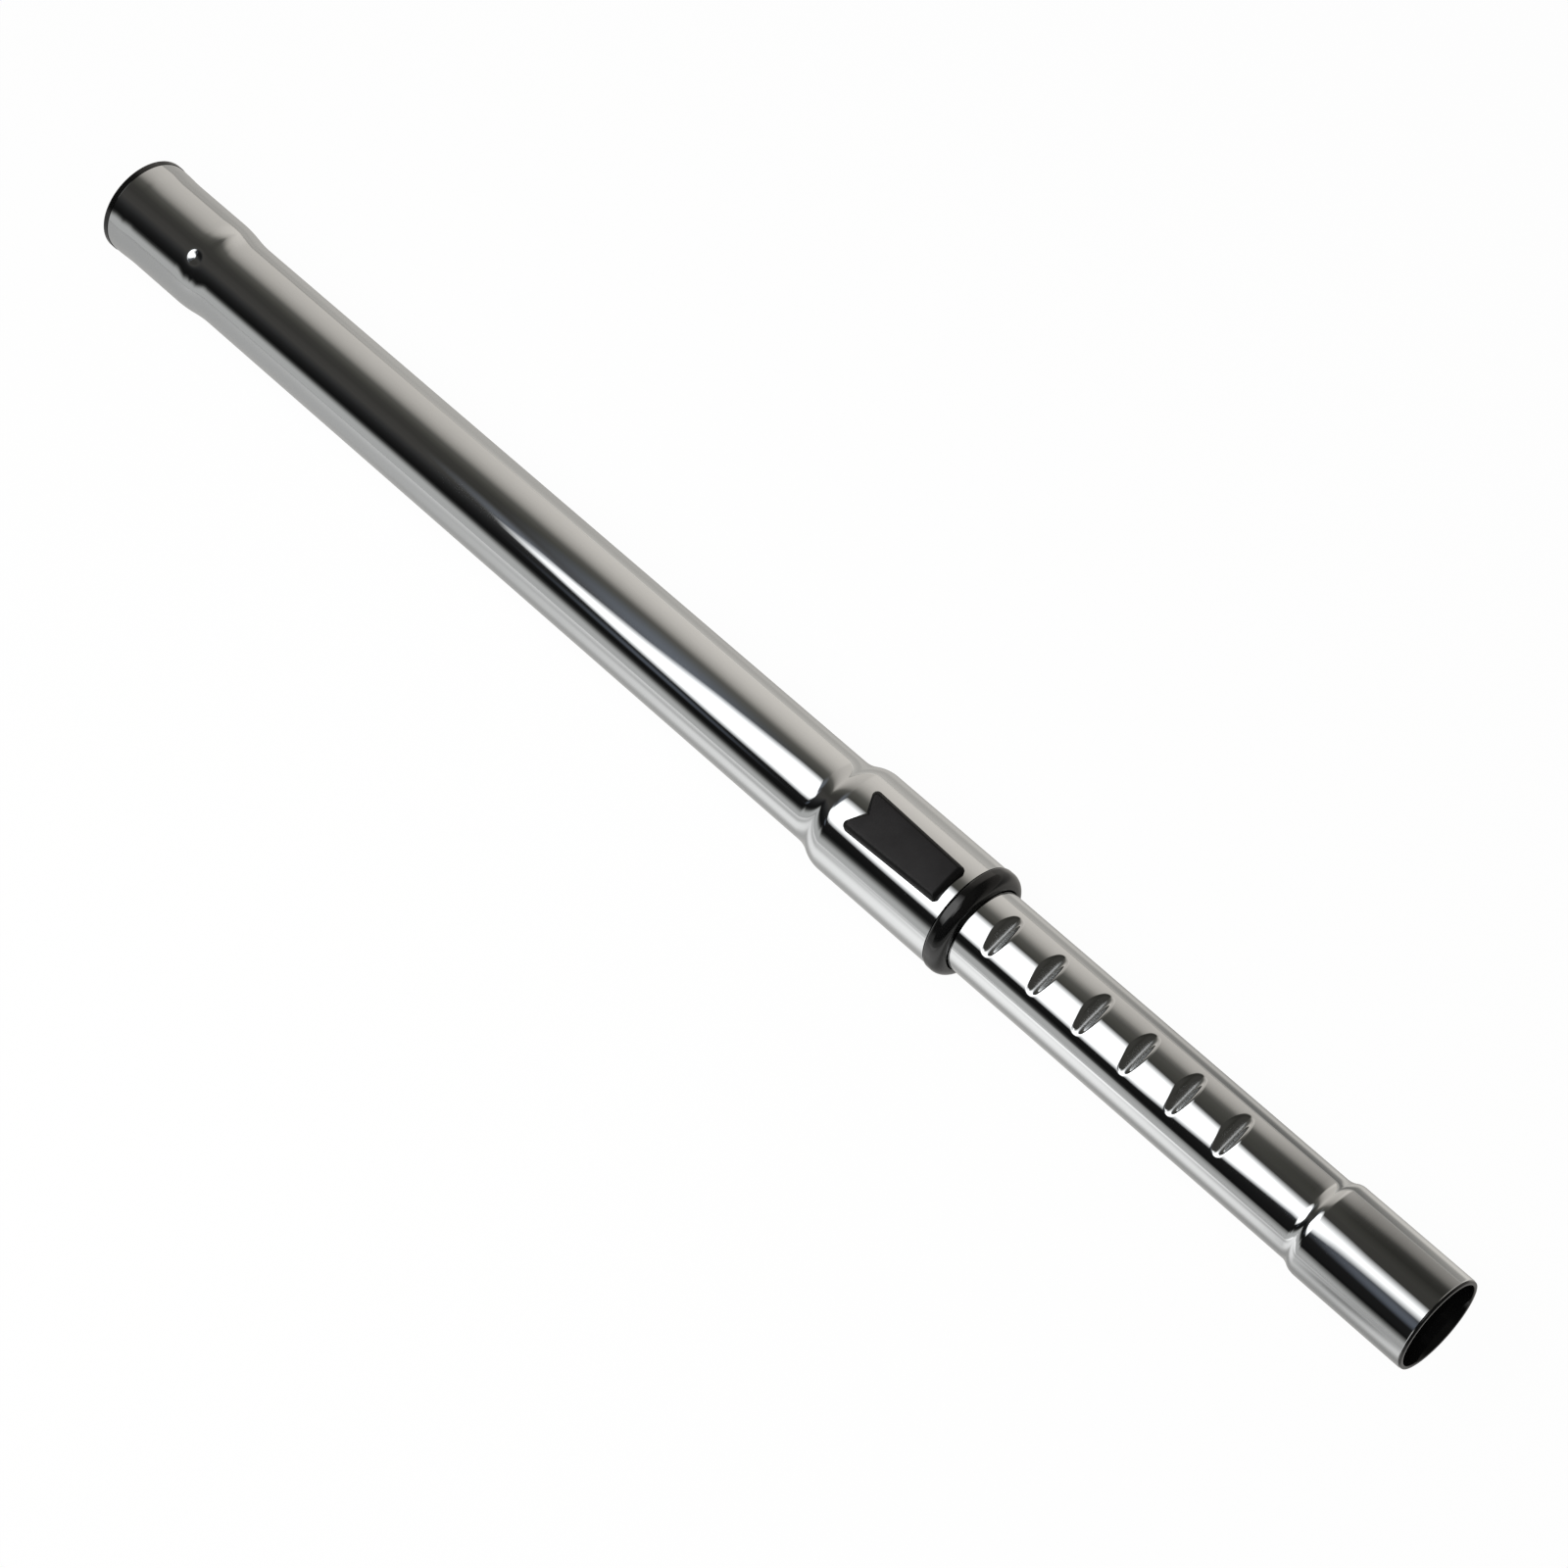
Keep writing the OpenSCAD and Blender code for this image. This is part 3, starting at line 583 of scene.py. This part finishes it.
def textured_abs():
    mat, tree, shader = new_material("black ABS, spark-eroded mould", Roughness=0.62, IOR=1.54,
                                     Specular_IOR_Level=0.3)
    place = add(tree, "TexCoord").outputs["Object"]
    pits = add(tree, "TexVoronoi", {"Vector": place}, Scale=3300.0, feature="SMOOTH_F1")
    cloud = add(tree, "TexNoise", {"Vector": place}, Scale=160.0, Detail=3.0)
    tint = add(tree, "ValToRGB", {"Fac": cloud.outputs[0]})
    tint.color_ramp.elements[0].position = 0.3
    tint.color_ramp.elements[0].color = to_linear("131213")
    tint.color_ramp.elements[1].position = 0.7
    tint.color_ramp.elements[1].color = to_linear("1A191A")
    bump = add(tree, "Bump", {"Height": pits.outputs[0]}, Strength=0.5, Distance=0.00006)
    tree.links.new(tint.outputs[0], shader.inputs["Base Color"])
    tree.links.new(bump.outputs[0], shader.inputs["Normal"])
    return mat


def shaded_rim_abs():
    """The cap's sides and rounded edge: the same plastic with painted shade, a darker base colour and
    weaker gloss, so that it draws a black line.
    """
    mat, tree, shader = new_material("black ABS, cap's edge, painted shade", Base_Color=to_linear("0A0A0A"),
                                     IOR=1.54, Specular_IOR_Level=0.2)
    place = add(tree, "TexCoord").outputs["Object"]
    grain = add(tree, "TexNoise", {"Vector": place}, Scale=1500.0, Detail=2.0)
    rough = add(tree, "MapRange", {"Value": grain.outputs[0]}, From_Min=0.3, From_Max=0.7,
                To_Min=0.34, To_Max=0.5)
    bump = add(tree, "Bump", {"Height": grain.outputs[0]}, Strength=0.3, Distance=0.00002)
    tree.links.new(rough.outputs[0], shader.inputs["Roughness"])
    tree.links.new(bump.outputs[0], shader.inputs["Normal"])
    return mat


black_gloss, black_textured, black_rim_painted_shade = gloss_abs(), textured_abs(), shaded_rim_abs()

# %% [markdown]
# ## The hidden pieces
# The lock sits inside: bush, carriage and rear guide in natural acetal, a milky ivory that
# slides well, a ground steel roller and spring wire, a rubber ring and a felt wiper. They keep
# the CAD meshes and only get their finishes. All four are fine-grained, so one function gives
# each its grain: a noise stretched to the finish's own scale, read as roughness and as relief.

# %% Grain of a finish
def grained(tree, shader, scale, rough, depth):
    """Roughness between two values and relief of depth, in metres, from one stretched noise."""
    place = add(tree, "TexCoord").outputs["Object"]
    stretched = add(tree, "Mapping", {"Vector": place}, Scale=scale)
    grain = add(tree, "TexNoise", {"Vector": stretched.outputs[0]}, Scale=1.0, Detail=3.0)
    dull = add(tree, "MapRange", {"Value": grain.outputs[0]}, From_Min=0.3, From_Max=0.7,
               To_Min=rough[0], To_Max=rough[1])
    relief = add(tree, "Bump", {"Height": grain.outputs[0]}, Strength=0.6, Distance=depth)
    tree.links.new(dull.outputs[0], shader.inputs["Roughness"])
    tree.links.new(relief.outputs[0], shader.inputs["Normal"])
    return grain.outputs[0]


def tinted(tree, shader, value, dark, light):
    """A base colour that drifts between two sRGB colours."""
    tint = add(tree, "ValToRGB", {"Fac": value})
    for stop, spot, code in zip(tint.color_ramp.elements, (0.35, 0.65), (dark, light)):
        stop.position, stop.color = spot, to_linear(code)
    tree.links.new(tint.outputs[0], shader.inputs["Base Color"])


# %% Acetal, steel, rubber and felt
def natural_acetal():
    """Cloudy flow marks, about 8 mm long, and a silky surface."""
    mat, tree, shader = new_material("natural acetal, moulded", IOR=1.48,
                                     Subsurface_Weight=0.15, Subsurface_Scale=0.002)
    tinted(tree, shader, grained(tree, shader, (120, 300, 300), (0.32, 0.45), 0.00002),
           "DDD8CA", "E9E5DA")
    return mat


def ground_steel():
    """Grinding lines round the roller and drawing lines on the wire, 0.25 mm apart."""
    mat, tree, shader = new_material("ground steel", Base_Color=to_linear("C2C1BF"), Metallic=1.0)
    grained(tree, shader, (4000, 300, 300), (0.18, 0.34), 0.000004)
    return mat


def seal_rubber():
    """A dull black with the bloom that moulded rubber gets."""
    mat, tree, shader = new_material("nitrile rubber, moulded")
    tinted(tree, shader, grained(tree, shader, (500, 500, 500), (0.62, 0.85), 0.00003),
           "191919", "222223")
    return mat


def wool_felt():
    """Tangled fibres under 1 mm long, dark grey with a soft sheen."""
    mat, tree, shader = new_material("wool felt, pressed", Sheen_Weight=0.4)
    tinted(tree, shader, grained(tree, shader, (1400, 1400, 1400), (0.88, 1.0), 0.0002),
           "232325", "47474A")
    return mat


acetal, steel, rubber, felt = natural_acetal(), ground_steel(), seal_rubber(), wool_felt()

# %% [markdown]
# ## Dressing the frame
# The fine meshes stand for the CAD nodes of the same form, so that a mirror has smooth walls
# to work with. Every other node keeps its own mesh. Each piece rides on the body it belongs to;
# its row also lists the record's material slot for its finish, which nothing here uses.

# %% Materials, bodies and slots
for piece, node, body, mat, slot in (
        (outer_tube, "outer_tube", "outer", chrome, "chrome"),
        (inner_tube, "inner_tube", "inner", chrome, "chrome"),
        (collar, "end_collar", "outer", black_gloss, "black_gloss"),
        (upper_ring, "upper_end_ring", "outer", black_gloss, "black_gloss"),
        (lower_ring, "lower_end_ring", "inner", black_gloss, "black_gloss"),
        (cap, "button_cap", "button", black_textured, "cap_plastic")):
    piece.data.materials.append(mat)
    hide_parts(node)
    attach(piece, body)

# The cap's border takes the painted-shade material.
cap.data.materials.append(black_rim_painted_shade)

for node, mat in (("guide_bush", acetal), ("button_carriage", acetal), ("rear_guide", acetal),
                  ("locking_roller", steel), ("return_spring_left", steel),
                  ("return_spring_right", steel), ("rear_seal", rubber), ("wiper_seal", felt)):
    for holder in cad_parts[node].material_slots:
        holder.material = mat
    print(node, "is now", mat.name)

# %% [markdown]
# ## What the metal reflects
# Chrome has no look of its own: it shows the studio. A pale floor lights both flanks of the
# tube, a light card stands low on the far side, the ceiling is nearly black, and one soft box
# with eight sides hangs over the lower half of the wand, which gives the white stripe. The
# ceiling and the card are far away, so the world can draw them by direction. The soft box is
# near, so its reflection has to change along the wand, and it is a real glowing panel.

# %% Floor
FLOOR_Z = cad_low.z
PAPER_WHITE = 0.97


def flat_panel(name, corners, z, faces=None):
    """A flat panel at a height, from corners in metres: one polygon, or several faces."""
    mesh = bpy.data.meshes.new(name)
    mesh.from_pydata([(x, y, z) for x, y in corners], [], faces or [tuple(range(len(corners)))])
    panel = bpy.data.objects.new(name, mesh)
    bpy.context.scene.collection.objects.link(panel)
    return panel


def painted_by_place(tree, even, patches):
    """Painted brightness by place, for painted light: an even level and soft patches of (centre,
    half-size, amount).
    """
    spot = add(tree, "TexCoord").outputs["Object"]
    total = None
    for (x, y), (run, wide), amount in patches:
        off = add(tree, "VectorMath", {0: spot}, operation="SUBTRACT", i1=(x, y, 0))
        flat = add(tree, "VectorMath", {0: off.outputs[0]}, operation="MULTIPLY",
                   i1=(1 / run, 1 / wide, 0))
        far = add(tree, "VectorMath", {0: flat.outputs[0]}, operation="LENGTH")
        part = add(tree, "MapRange", {"Value": far.outputs["Value"]}, To_Min=amount, To_Max=0.0,
                   interpolation_type="SMOOTHSTEP").outputs[0]
        total = part if total is None else add(tree, "Math", {0: total, 1: part}).outputs[0]
    return add(tree, "Math", {0: total}, i1=even).outputs[0]


# What the metal sees of the paper is painted light: a painted pool of light beside the wand,
# where the soft box would light it most, a painted shadow of the wand, and painted shade round
# the lower end. Places and half-sizes are in metres.
PAPER_EVEN, PAPER_REAL, PAPER_ENDS = 0.42, 0.2, (0.25, 0.7)
PAPER_PAINTED_LIGHT = [((0.46, -0.032), (0.40, 0.021), -0.48), ((0.44, -0.067), (0.35, 0.074), 0.93),
                 ((0.43, -0.173), (0.15, 0.120), 1.20), ((0.10, 0.413), (0.26, 0.231), 0.75),
                 ((0.58, -0.078), (0.04, 0.048), -0.74), ((0.52, 0.123), (0.12, 0.154), -0.36),
                 ((0.73, 0.050), (0.60, 0.031), 0.51), ((0.17, -0.363), (0.38, 0.400), 0.55),
                 ((0.05, 0.055), (0.17, 0.049), 0.10), ((0.21, 0.208), (0.48, 0.210), 0.28)]
# Painted light colour: the paper that the metal sees turns warm on the far side, for the light card's
# warm light on it.
PAPER_NEAR, PAPER_FAR_WARM_LIGHT = (1.0, 0.99, 0.98, 1), (1.0, 0.95, 0.88, 1)


def make_floor():
    """Matt white paper. The camera sees it as plain white, and the metal as paper with painted light
    and painted shadow.
    """
    floor = flat_panel("studio_floor", [(-6, -6), (6, -6), (6, 6), (-6, 6)], 0.0)
    floor.location.z = FLOOR_Z
    mat = bpy.data.materials.new("matt white paper")
    mat.use_nodes = True
    tree = mat.node_tree
    tree.nodes.clear()
    paper = add(tree, "BsdfDiffuse", Color=to_linear("E2E2E0"))
    ray = add(tree, "LightPath")
    looked = ray.outputs["Is Camera Ray"]
    # Glossy rays see the paper as an emission of painted light and painted shadow by place, with
    # PAPER_REAL of its real diffuse shading.
    lit = add(tree, "Mix", {"Factor": looked, "A": painted_by_place(tree, PAPER_EVEN, PAPER_PAINTED_LIGHT)},
              data_type="FLOAT", B=1.0)
    # Painted warm light on the far paper, for reflections only; the camera sees plain white.
    side = add(tree, "SeparateXYZ", {0: add(tree, "TexCoord").outputs["Object"]}).outputs["Y"]
    beyond = add(tree, "MapRange", {"Value": side}, From_Min=-0.05, From_Max=0.05).outputs[0]
    painted_tint = add(tree, "Mix", {"Factor": beyond}, data_type="RGBA", i6=PAPER_NEAR, i7=PAPER_FAR_WARM_LIGHT)
    shown = add(tree, "Mix", {"Factor": looked, 6: painted_tint.outputs[2]}, data_type="RGBA",
                i7=(1, 1, 1, 1))
    white = add(tree, "Emission", {"Color": shown.outputs[2], "Strength": lit.outputs[0]})
    seen = add(tree, "Math", {0: looked}, operation="MULTIPLY", i1=PAPER_WHITE)
    mirrored = add(tree, "Math", {0: ray.outputs["Is Glossy Ray"]}, operation="MULTIPLY",
                   i1=1 - PAPER_REAL)
    share = add(tree, "Math", {0: seen.outputs[0], 1: mirrored.outputs[0]}, operation="MAXIMUM")
    mix = add(tree, "MixShader", {0: share.outputs[0], 1: paper.outputs[0], 2: white.outputs[0]})
    away = add(tree, "Math", {0: side}, operation="ABSOLUTE").outputs[0]
    past = add(tree, "MapRange", {"Value": away}, From_Min=PAPER_ENDS[0],
               From_Max=PAPER_ENDS[1]).outputs[0]
    gone = add(tree, "Math", {0: past, 1: ray.outputs["Is Glossy Ray"]}, operation="MULTIPLY")
    clear = add(tree, "BsdfTransparent")
    whole = add(tree, "MixShader", {0: gone.outputs[0], 1: mix.outputs[0], 2: clear.outputs[0]})
    add(tree, "OutputMaterial", {"Surface": whole.outputs[0]})
    floor.data.materials.append(mat)


make_floor()

# %% Soft box and its spill
# Each pair is a point of the box's outline, where its cloth goes dark, and the point inwards
# from it where the cloth has its full glow. The far side fades over 150 mm.
BOX_HEIGHT, BOX_GLOW, BOX_MIDDLE, BOX_ACROSS = 0.45, 2.6, (0.205, -0.235), 0.6
BOX_DIM_FROM, BOX_DIM = 0.45, 0.72
BOX_OUTLINE = [
    ((-0.074, -0.214), (-0.016, -0.239)), ((-0.028, -0.140), (0.005, -0.229)),
    ((-0.001, -0.129), (0.018, -0.226)), ((0.055, -0.072), (0.031, -0.222)),
    ((0.106, 0.025), (0.099, -0.122)), ((0.149, 0.090), (0.152, -0.055)),
    ((0.205, 0.110), (0.212, -0.040)), ((0.276, 0.117), (0.289, -0.035)),
    ((0.310, 0.116), (0.315, -0.035)), ((0.363, 0.096), (0.366, -0.052)),
    ((0.416, 0.054), (0.415, -0.090)), ((0.475, 0.034), (0.472, -0.112)),
    ((0.488, 0.016), (0.484, -0.121)), ((0.600, -0.020), (0.560, -0.130)),
    ((0.600, -0.250), (0.560, -0.137)), ((0.466, -0.290), (0.483, -0.138)),
    ((0.450, -0.307), (0.470, -0.142)), ((0.355, -0.475), (0.395, -0.269)),
    ((0.263, -0.613), (0.328, -0.345)), ((0.212, -0.581), (0.277, -0.328)),
    ((0.184, -0.570), (0.251, -0.325)), ((0.105, -0.552), (0.165, -0.330)),
    ((0.057, -0.483), (0.118, -0.274)), ((0.003, -0.485), (0.069, -0.274)),
    ((-0.035, -0.443), (0.026, -0.248)), ((-0.063, -0.369), (0.000, -0.243)),
    ((-0.090, -0.300), (-0.012, -0.241))]
# The spill is painted light: a panel's height, its bluish colour and its soft patches of glow.
SPILL_HEIGHT, SPILL_COLOUR = 0.46, (0.80, 0.91, 1.12, 1)
SPILL_PATCHES = [((0.06, 0.00), (0.12, 0.26), 0.15), ((-0.09, -0.60), (0.10, 0.18), 0.11),
                 ((-0.05, -0.17), (0.07, 0.13), 0.13), ((0.47, -0.42), (0.09, 0.28), 0.13)]


def let_glow(panel, cloth, colour, strength_of):
    """Adds a glow that only the metal shows. The camera and the lamps look past the panel."""
    mat = bpy.data.materials.new(cloth)
    mat.use_nodes = True
    tree = mat.node_tree
    tree.nodes.clear()
    glow = add(tree, "Emission", {"Strength": strength_of(tree)}, Color=colour)
    clear = add(tree, "BsdfTransparent")
    both = add(tree, "AddShader", {0: glow.outputs[0], 1: clear.outputs[0]})
    add(tree, "OutputMaterial", {"Surface": both.outputs[0]})
    panel.data.materials.append(mat)
    panel.visible_camera = panel.visible_diffuse = panel.visible_shadow = False


def cloth_glow(tree):
    part = add(tree, "Attribute", attribute_name="glow").outputs["Fac"]
    return add(tree, "Math", {0: part}, operation="MULTIPLY", i1=BOX_GLOW).outputs[0]


def make_soft_box():
    """The front of the soft box, full in the middle and fading to its outline."""
    n = len(BOX_OUTLINE)
    rim = [(k, (k + 1) % n, n + (k + 1) % n, n + k) for k in range(n)]
    corners = [outer for outer, _ in BOX_OUTLINE] + [inner for _, inner in BOX_OUTLINE]
    panel = flat_panel("soft_box_front", corners, BOX_HEIGHT, rim + [tuple(range(n, 2 * n))])
    glow = panel.data.attributes.new("glow", "FLOAT", "POINT")
    for k, (_, inner) in enumerate(BOX_OUTLINE):
        glow.data[n + k].value = 1.0 if inner[0] < BOX_DIM_FROM else BOX_DIM
    let_glow(panel, "soft box cloth", (1, 1, 1, 1), cloth_glow)


make_soft_box()
# Painted spill light: a panel that glows in soft bluish patches for the metal, standing for the
# ceiling lit by the soft box's spill.
spill = flat_panel("soft_box_spill", [(-0.4, -0.9), (0.7, -0.9), (0.7, 0.4), (-0.4, 0.4)],
                   SPILL_HEIGHT)
let_glow(spill, "ceiling, painted spill light", SPILL_COLOUR,
         lambda tree: painted_by_place(tree, 0.0, SPILL_PATCHES))

# %% World
# Bands round the wand: the angle in degrees from straight up, positive to the far side, and
# the linear brightness there.
BANDS = [(-180, (0.58, 0.58, 0.57)), (-79, (0.57, 0.57, 0.56)), (-75, (0.46, 0.46, 0.45)),
         (-71, (0.26, 0.26, 0.25)), (-66, (0.05, 0.05, 0.048)), (-61, (0.008, 0.008, 0.008)),
         (-53, (0.012, 0.012, 0.012)), (-44, (0.022, 0.022, 0.022)), (-36, (0.04, 0.04, 0.04)),
         (-25, (0.07, 0.067, 0.062)), (-14, (0.066, 0.063, 0.058)), (-4, (0.054, 0.052, 0.047)),
         (7, (0.06, 0.058, 0.052)), (16, (0.085, 0.083, 0.072)), (25, (0.13, 0.125, 0.112)),
         (29, (0.205, 0.197, 0.18)), (33, (0.33, 0.311, 0.283)), (38.5, (0.50, 0.473, 0.433)),
         (46, (0.64, 0.602, 0.556)), (57, (0.77, 0.725, 0.672)), (71, (0.86, 0.81, 0.75)),
         (90, (0.92, 0.868, 0.802)), (180, (0.92, 0.868, 0.802))]

# How the bands change along the wand: the reflected ray's run along it, by how many degrees
# the near dark reaches further down and the card's edge further out, and the card's share.
ALONG = [(-0.58, 3, 0, 0.82), (-0.55, 0, 0, 0.82), (-0.51, 0, 0, 0.84), (-0.475, 3, 4, 0.92),
         (-0.44, 6, 4.5, 0.95), (-0.415, 8, 5.5, 0.97), (-0.385, 6, 9.5, 1.0),
         (-0.355, 4.5, 12.5, 0.93), (-0.34, 5, 13, 0.90), (-0.327, 7, 18, 0.84),
         (-0.302, 11, 20, 0.82), (-0.29, 11.5, 23, 0.80), (-0.28, 12, 26, 0.68),
         (-0.264, 13.5, 28, 0.50), (-0.25, 16, 32, 0.46)]
ALONG_FROM, ALONG_TO, MOST_DEGREES = -0.6, -0.2, 40


def fill_ramp(node, stops):
    """Puts (position, colour) stops into a Color Ramp."""
    ramp = node.color_ramp
    while len(ramp.elements) < len(stops):
        ramp.elements.new(0.5)
    for stop, (spot, colour) in zip(ramp.elements, stops):
        stop.position, stop.color = spot, (*colour, 1.0)


def make_world():
    world = bpy.data.worlds.new("studio")
    bpy.context.scene.world = world
    world.use_nodes = True
    tree = world.node_tree
    tree.nodes.clear()
    way = add(tree, "SeparateXYZ", {0: add(tree, "TexCoord").outputs["Generated"]})
    along = way.outputs["X"]
    turn = add(tree, "Math", {0: way.outputs["Y"], 1: way.outputs["Z"]}, operation="ARCTAN2")
    angle = add(tree, "Math", {0: turn.outputs[0]}, operation="DEGREES").outputs[0]

    run = add(tree, "MapRange", {"Value": along}, From_Min=ALONG_FROM, From_Max=ALONG_TO)
    steer = add(tree, "ValToRGB", {"Fac": run.outputs[0]})
    fill_ramp(steer, [((u - ALONG_FROM) / (ALONG_TO - ALONG_FROM),
                       (sink / MOST_DEGREES, lean / MOST_DEGREES, share))
                      for u, sink, lean, share in ALONG])
    change = add(tree, "SeparateColor", {"Color": steer.outputs[0]}).outputs
    near = add(tree, "MapRange", {"Value": angle}, From_Min=-50.0, From_Max=-68.0,
               To_Max=MOST_DEGREES).outputs[0]
    far = add(tree, "MapRange", {"Value": angle}, From_Min=0.0, From_Max=50.0,
              To_Max=-MOST_DEGREES).outputs[0]
    moved = add(tree, "Math", {0: change["Red"], 1: near, 2: angle},
                operation="MULTIPLY_ADD").outputs[0]
    moved = add(tree, "Math", {0: change["Green"], 1: far, 2: moved},
                operation="MULTIPLY_ADD").outputs[0]
    unit = add(tree, "MapRange", {"Value": moved}, From_Min=-180, From_Max=180).outputs[0]
    bands = add(tree, "ValToRGB", {"Fac": unit})
    fill_ramp(bands, [((deg + 180) / 360, rgb) for deg, rgb in BANDS])
    tall = add(tree, "MapRange", {"Value": angle}, From_Min=20.0, From_Max=40.0).outputs[0]
    dim = add(tree, "Mix", {"Factor": tall, "B": change["Blue"]}, data_type="FLOAT",
              A=1.0).outputs[0]
    card = add(tree, "VectorMath", {0: bands.outputs[0], "Scale": dim}, operation="SCALE")
    seen = add(tree, "LightPath").outputs["Is Camera Ray"]
    shown = add(tree, "Mix", {"Factor": seen, 6: card.outputs[0]}, data_type="RGBA",
                i7=(1, 1, 1, 1))
    back = add(tree, "Background", {"Color": shown.outputs[2]}, Strength=1.0)
    add(tree, "OutputWorld", {"Surface": back.outputs[0]})


make_world()

# %% [markdown]
# ## Lamps and camera
# The panel only glows for the metal. Its light on the plastics and the paper comes from an area
# lamp of the same size and place, which renders with less noise, and from one large fill lamp
# high above the lower end. Both are hidden from reflections, where the panel stands for them.
# The photograph was taken from above with a long lens, with the wand turned 24.5 degrees out
# of the picture plane and the button rolled 11 degrees to the viewer.

# %% Lamps
def soft_lamp(name, shape, place, aim, size, watts):
    """An area lamp that lights matt surfaces only, aimed at a point."""
    light = bpy.data.lights.new(name, "AREA")
    light.shape, light.size, light.size_y, light.energy = shape, size, size, watts
    lamp = bpy.data.objects.new(name, light)
    lamp.location = place
    lamp.rotation_euler = (Vector(aim) - Vector(place)).to_track_quat("-Z", "Y").to_euler()
    lamp.visible_glossy = False
    bpy.context.scene.collection.objects.link(lamp)


box_watts = BOX_GLOW * math.pi * math.pi * (BOX_ACROSS / 2) ** 2
soft_lamp("soft_box_light", "ELLIPSE", (*BOX_MIDDLE, BOX_HEIGHT), (*BOX_MIDDLE, 0.0), BOX_ACROSS,
          box_watts)
soft_lamp("fill", "RECTANGLE", (1.3, -0.5, 1.9), (0.6, -0.1, 0.0), 2.0, 30)
print("soft box lamp, W:", round(box_watts, 2))

# %% Camera
TURN, ROLL, TILT = math.radians(24.5), math.radians(11.0), math.radians(41.006)
REACH, LOOK_X, LOOK_SIDE = 1.435, 0.3434, -0.0063


def make_camera():
    back = Vector((math.sin(TURN), -math.cos(TURN) * math.sin(ROLL),
                   math.cos(TURN) * math.cos(ROLL)))
    run = (Vector((1, 0, 0)) - back * back.x).normalized()
    side = back.cross(run)
    right = run * math.cos(TILT) + side * math.sin(TILT)
    up = -run * math.sin(TILT) + side * math.cos(TILT)
    camera = bpy.data.cameras.new("camera")
    camera.lens, camera.sensor_width = 100.0, 36.0
    camera.clip_start, camera.clip_end = 0.05, 50.0
    obj = bpy.data.objects.new("camera", camera)
    place = Vector((LOOK_X, 0, 0)) + side * LOOK_SIDE + back * REACH
    turn = Matrix((right, up, back)).transposed().to_4x4()
    obj.matrix_world = Matrix.Translation(place) @ turn
    bpy.context.scene.collection.objects.link(obj)
    bpy.context.scene.camera = obj
    print("camera at, m:", [round(c, 3) for c in place])


make_camera()
bpy.context.scene.view_settings.view_transform = "Standard"
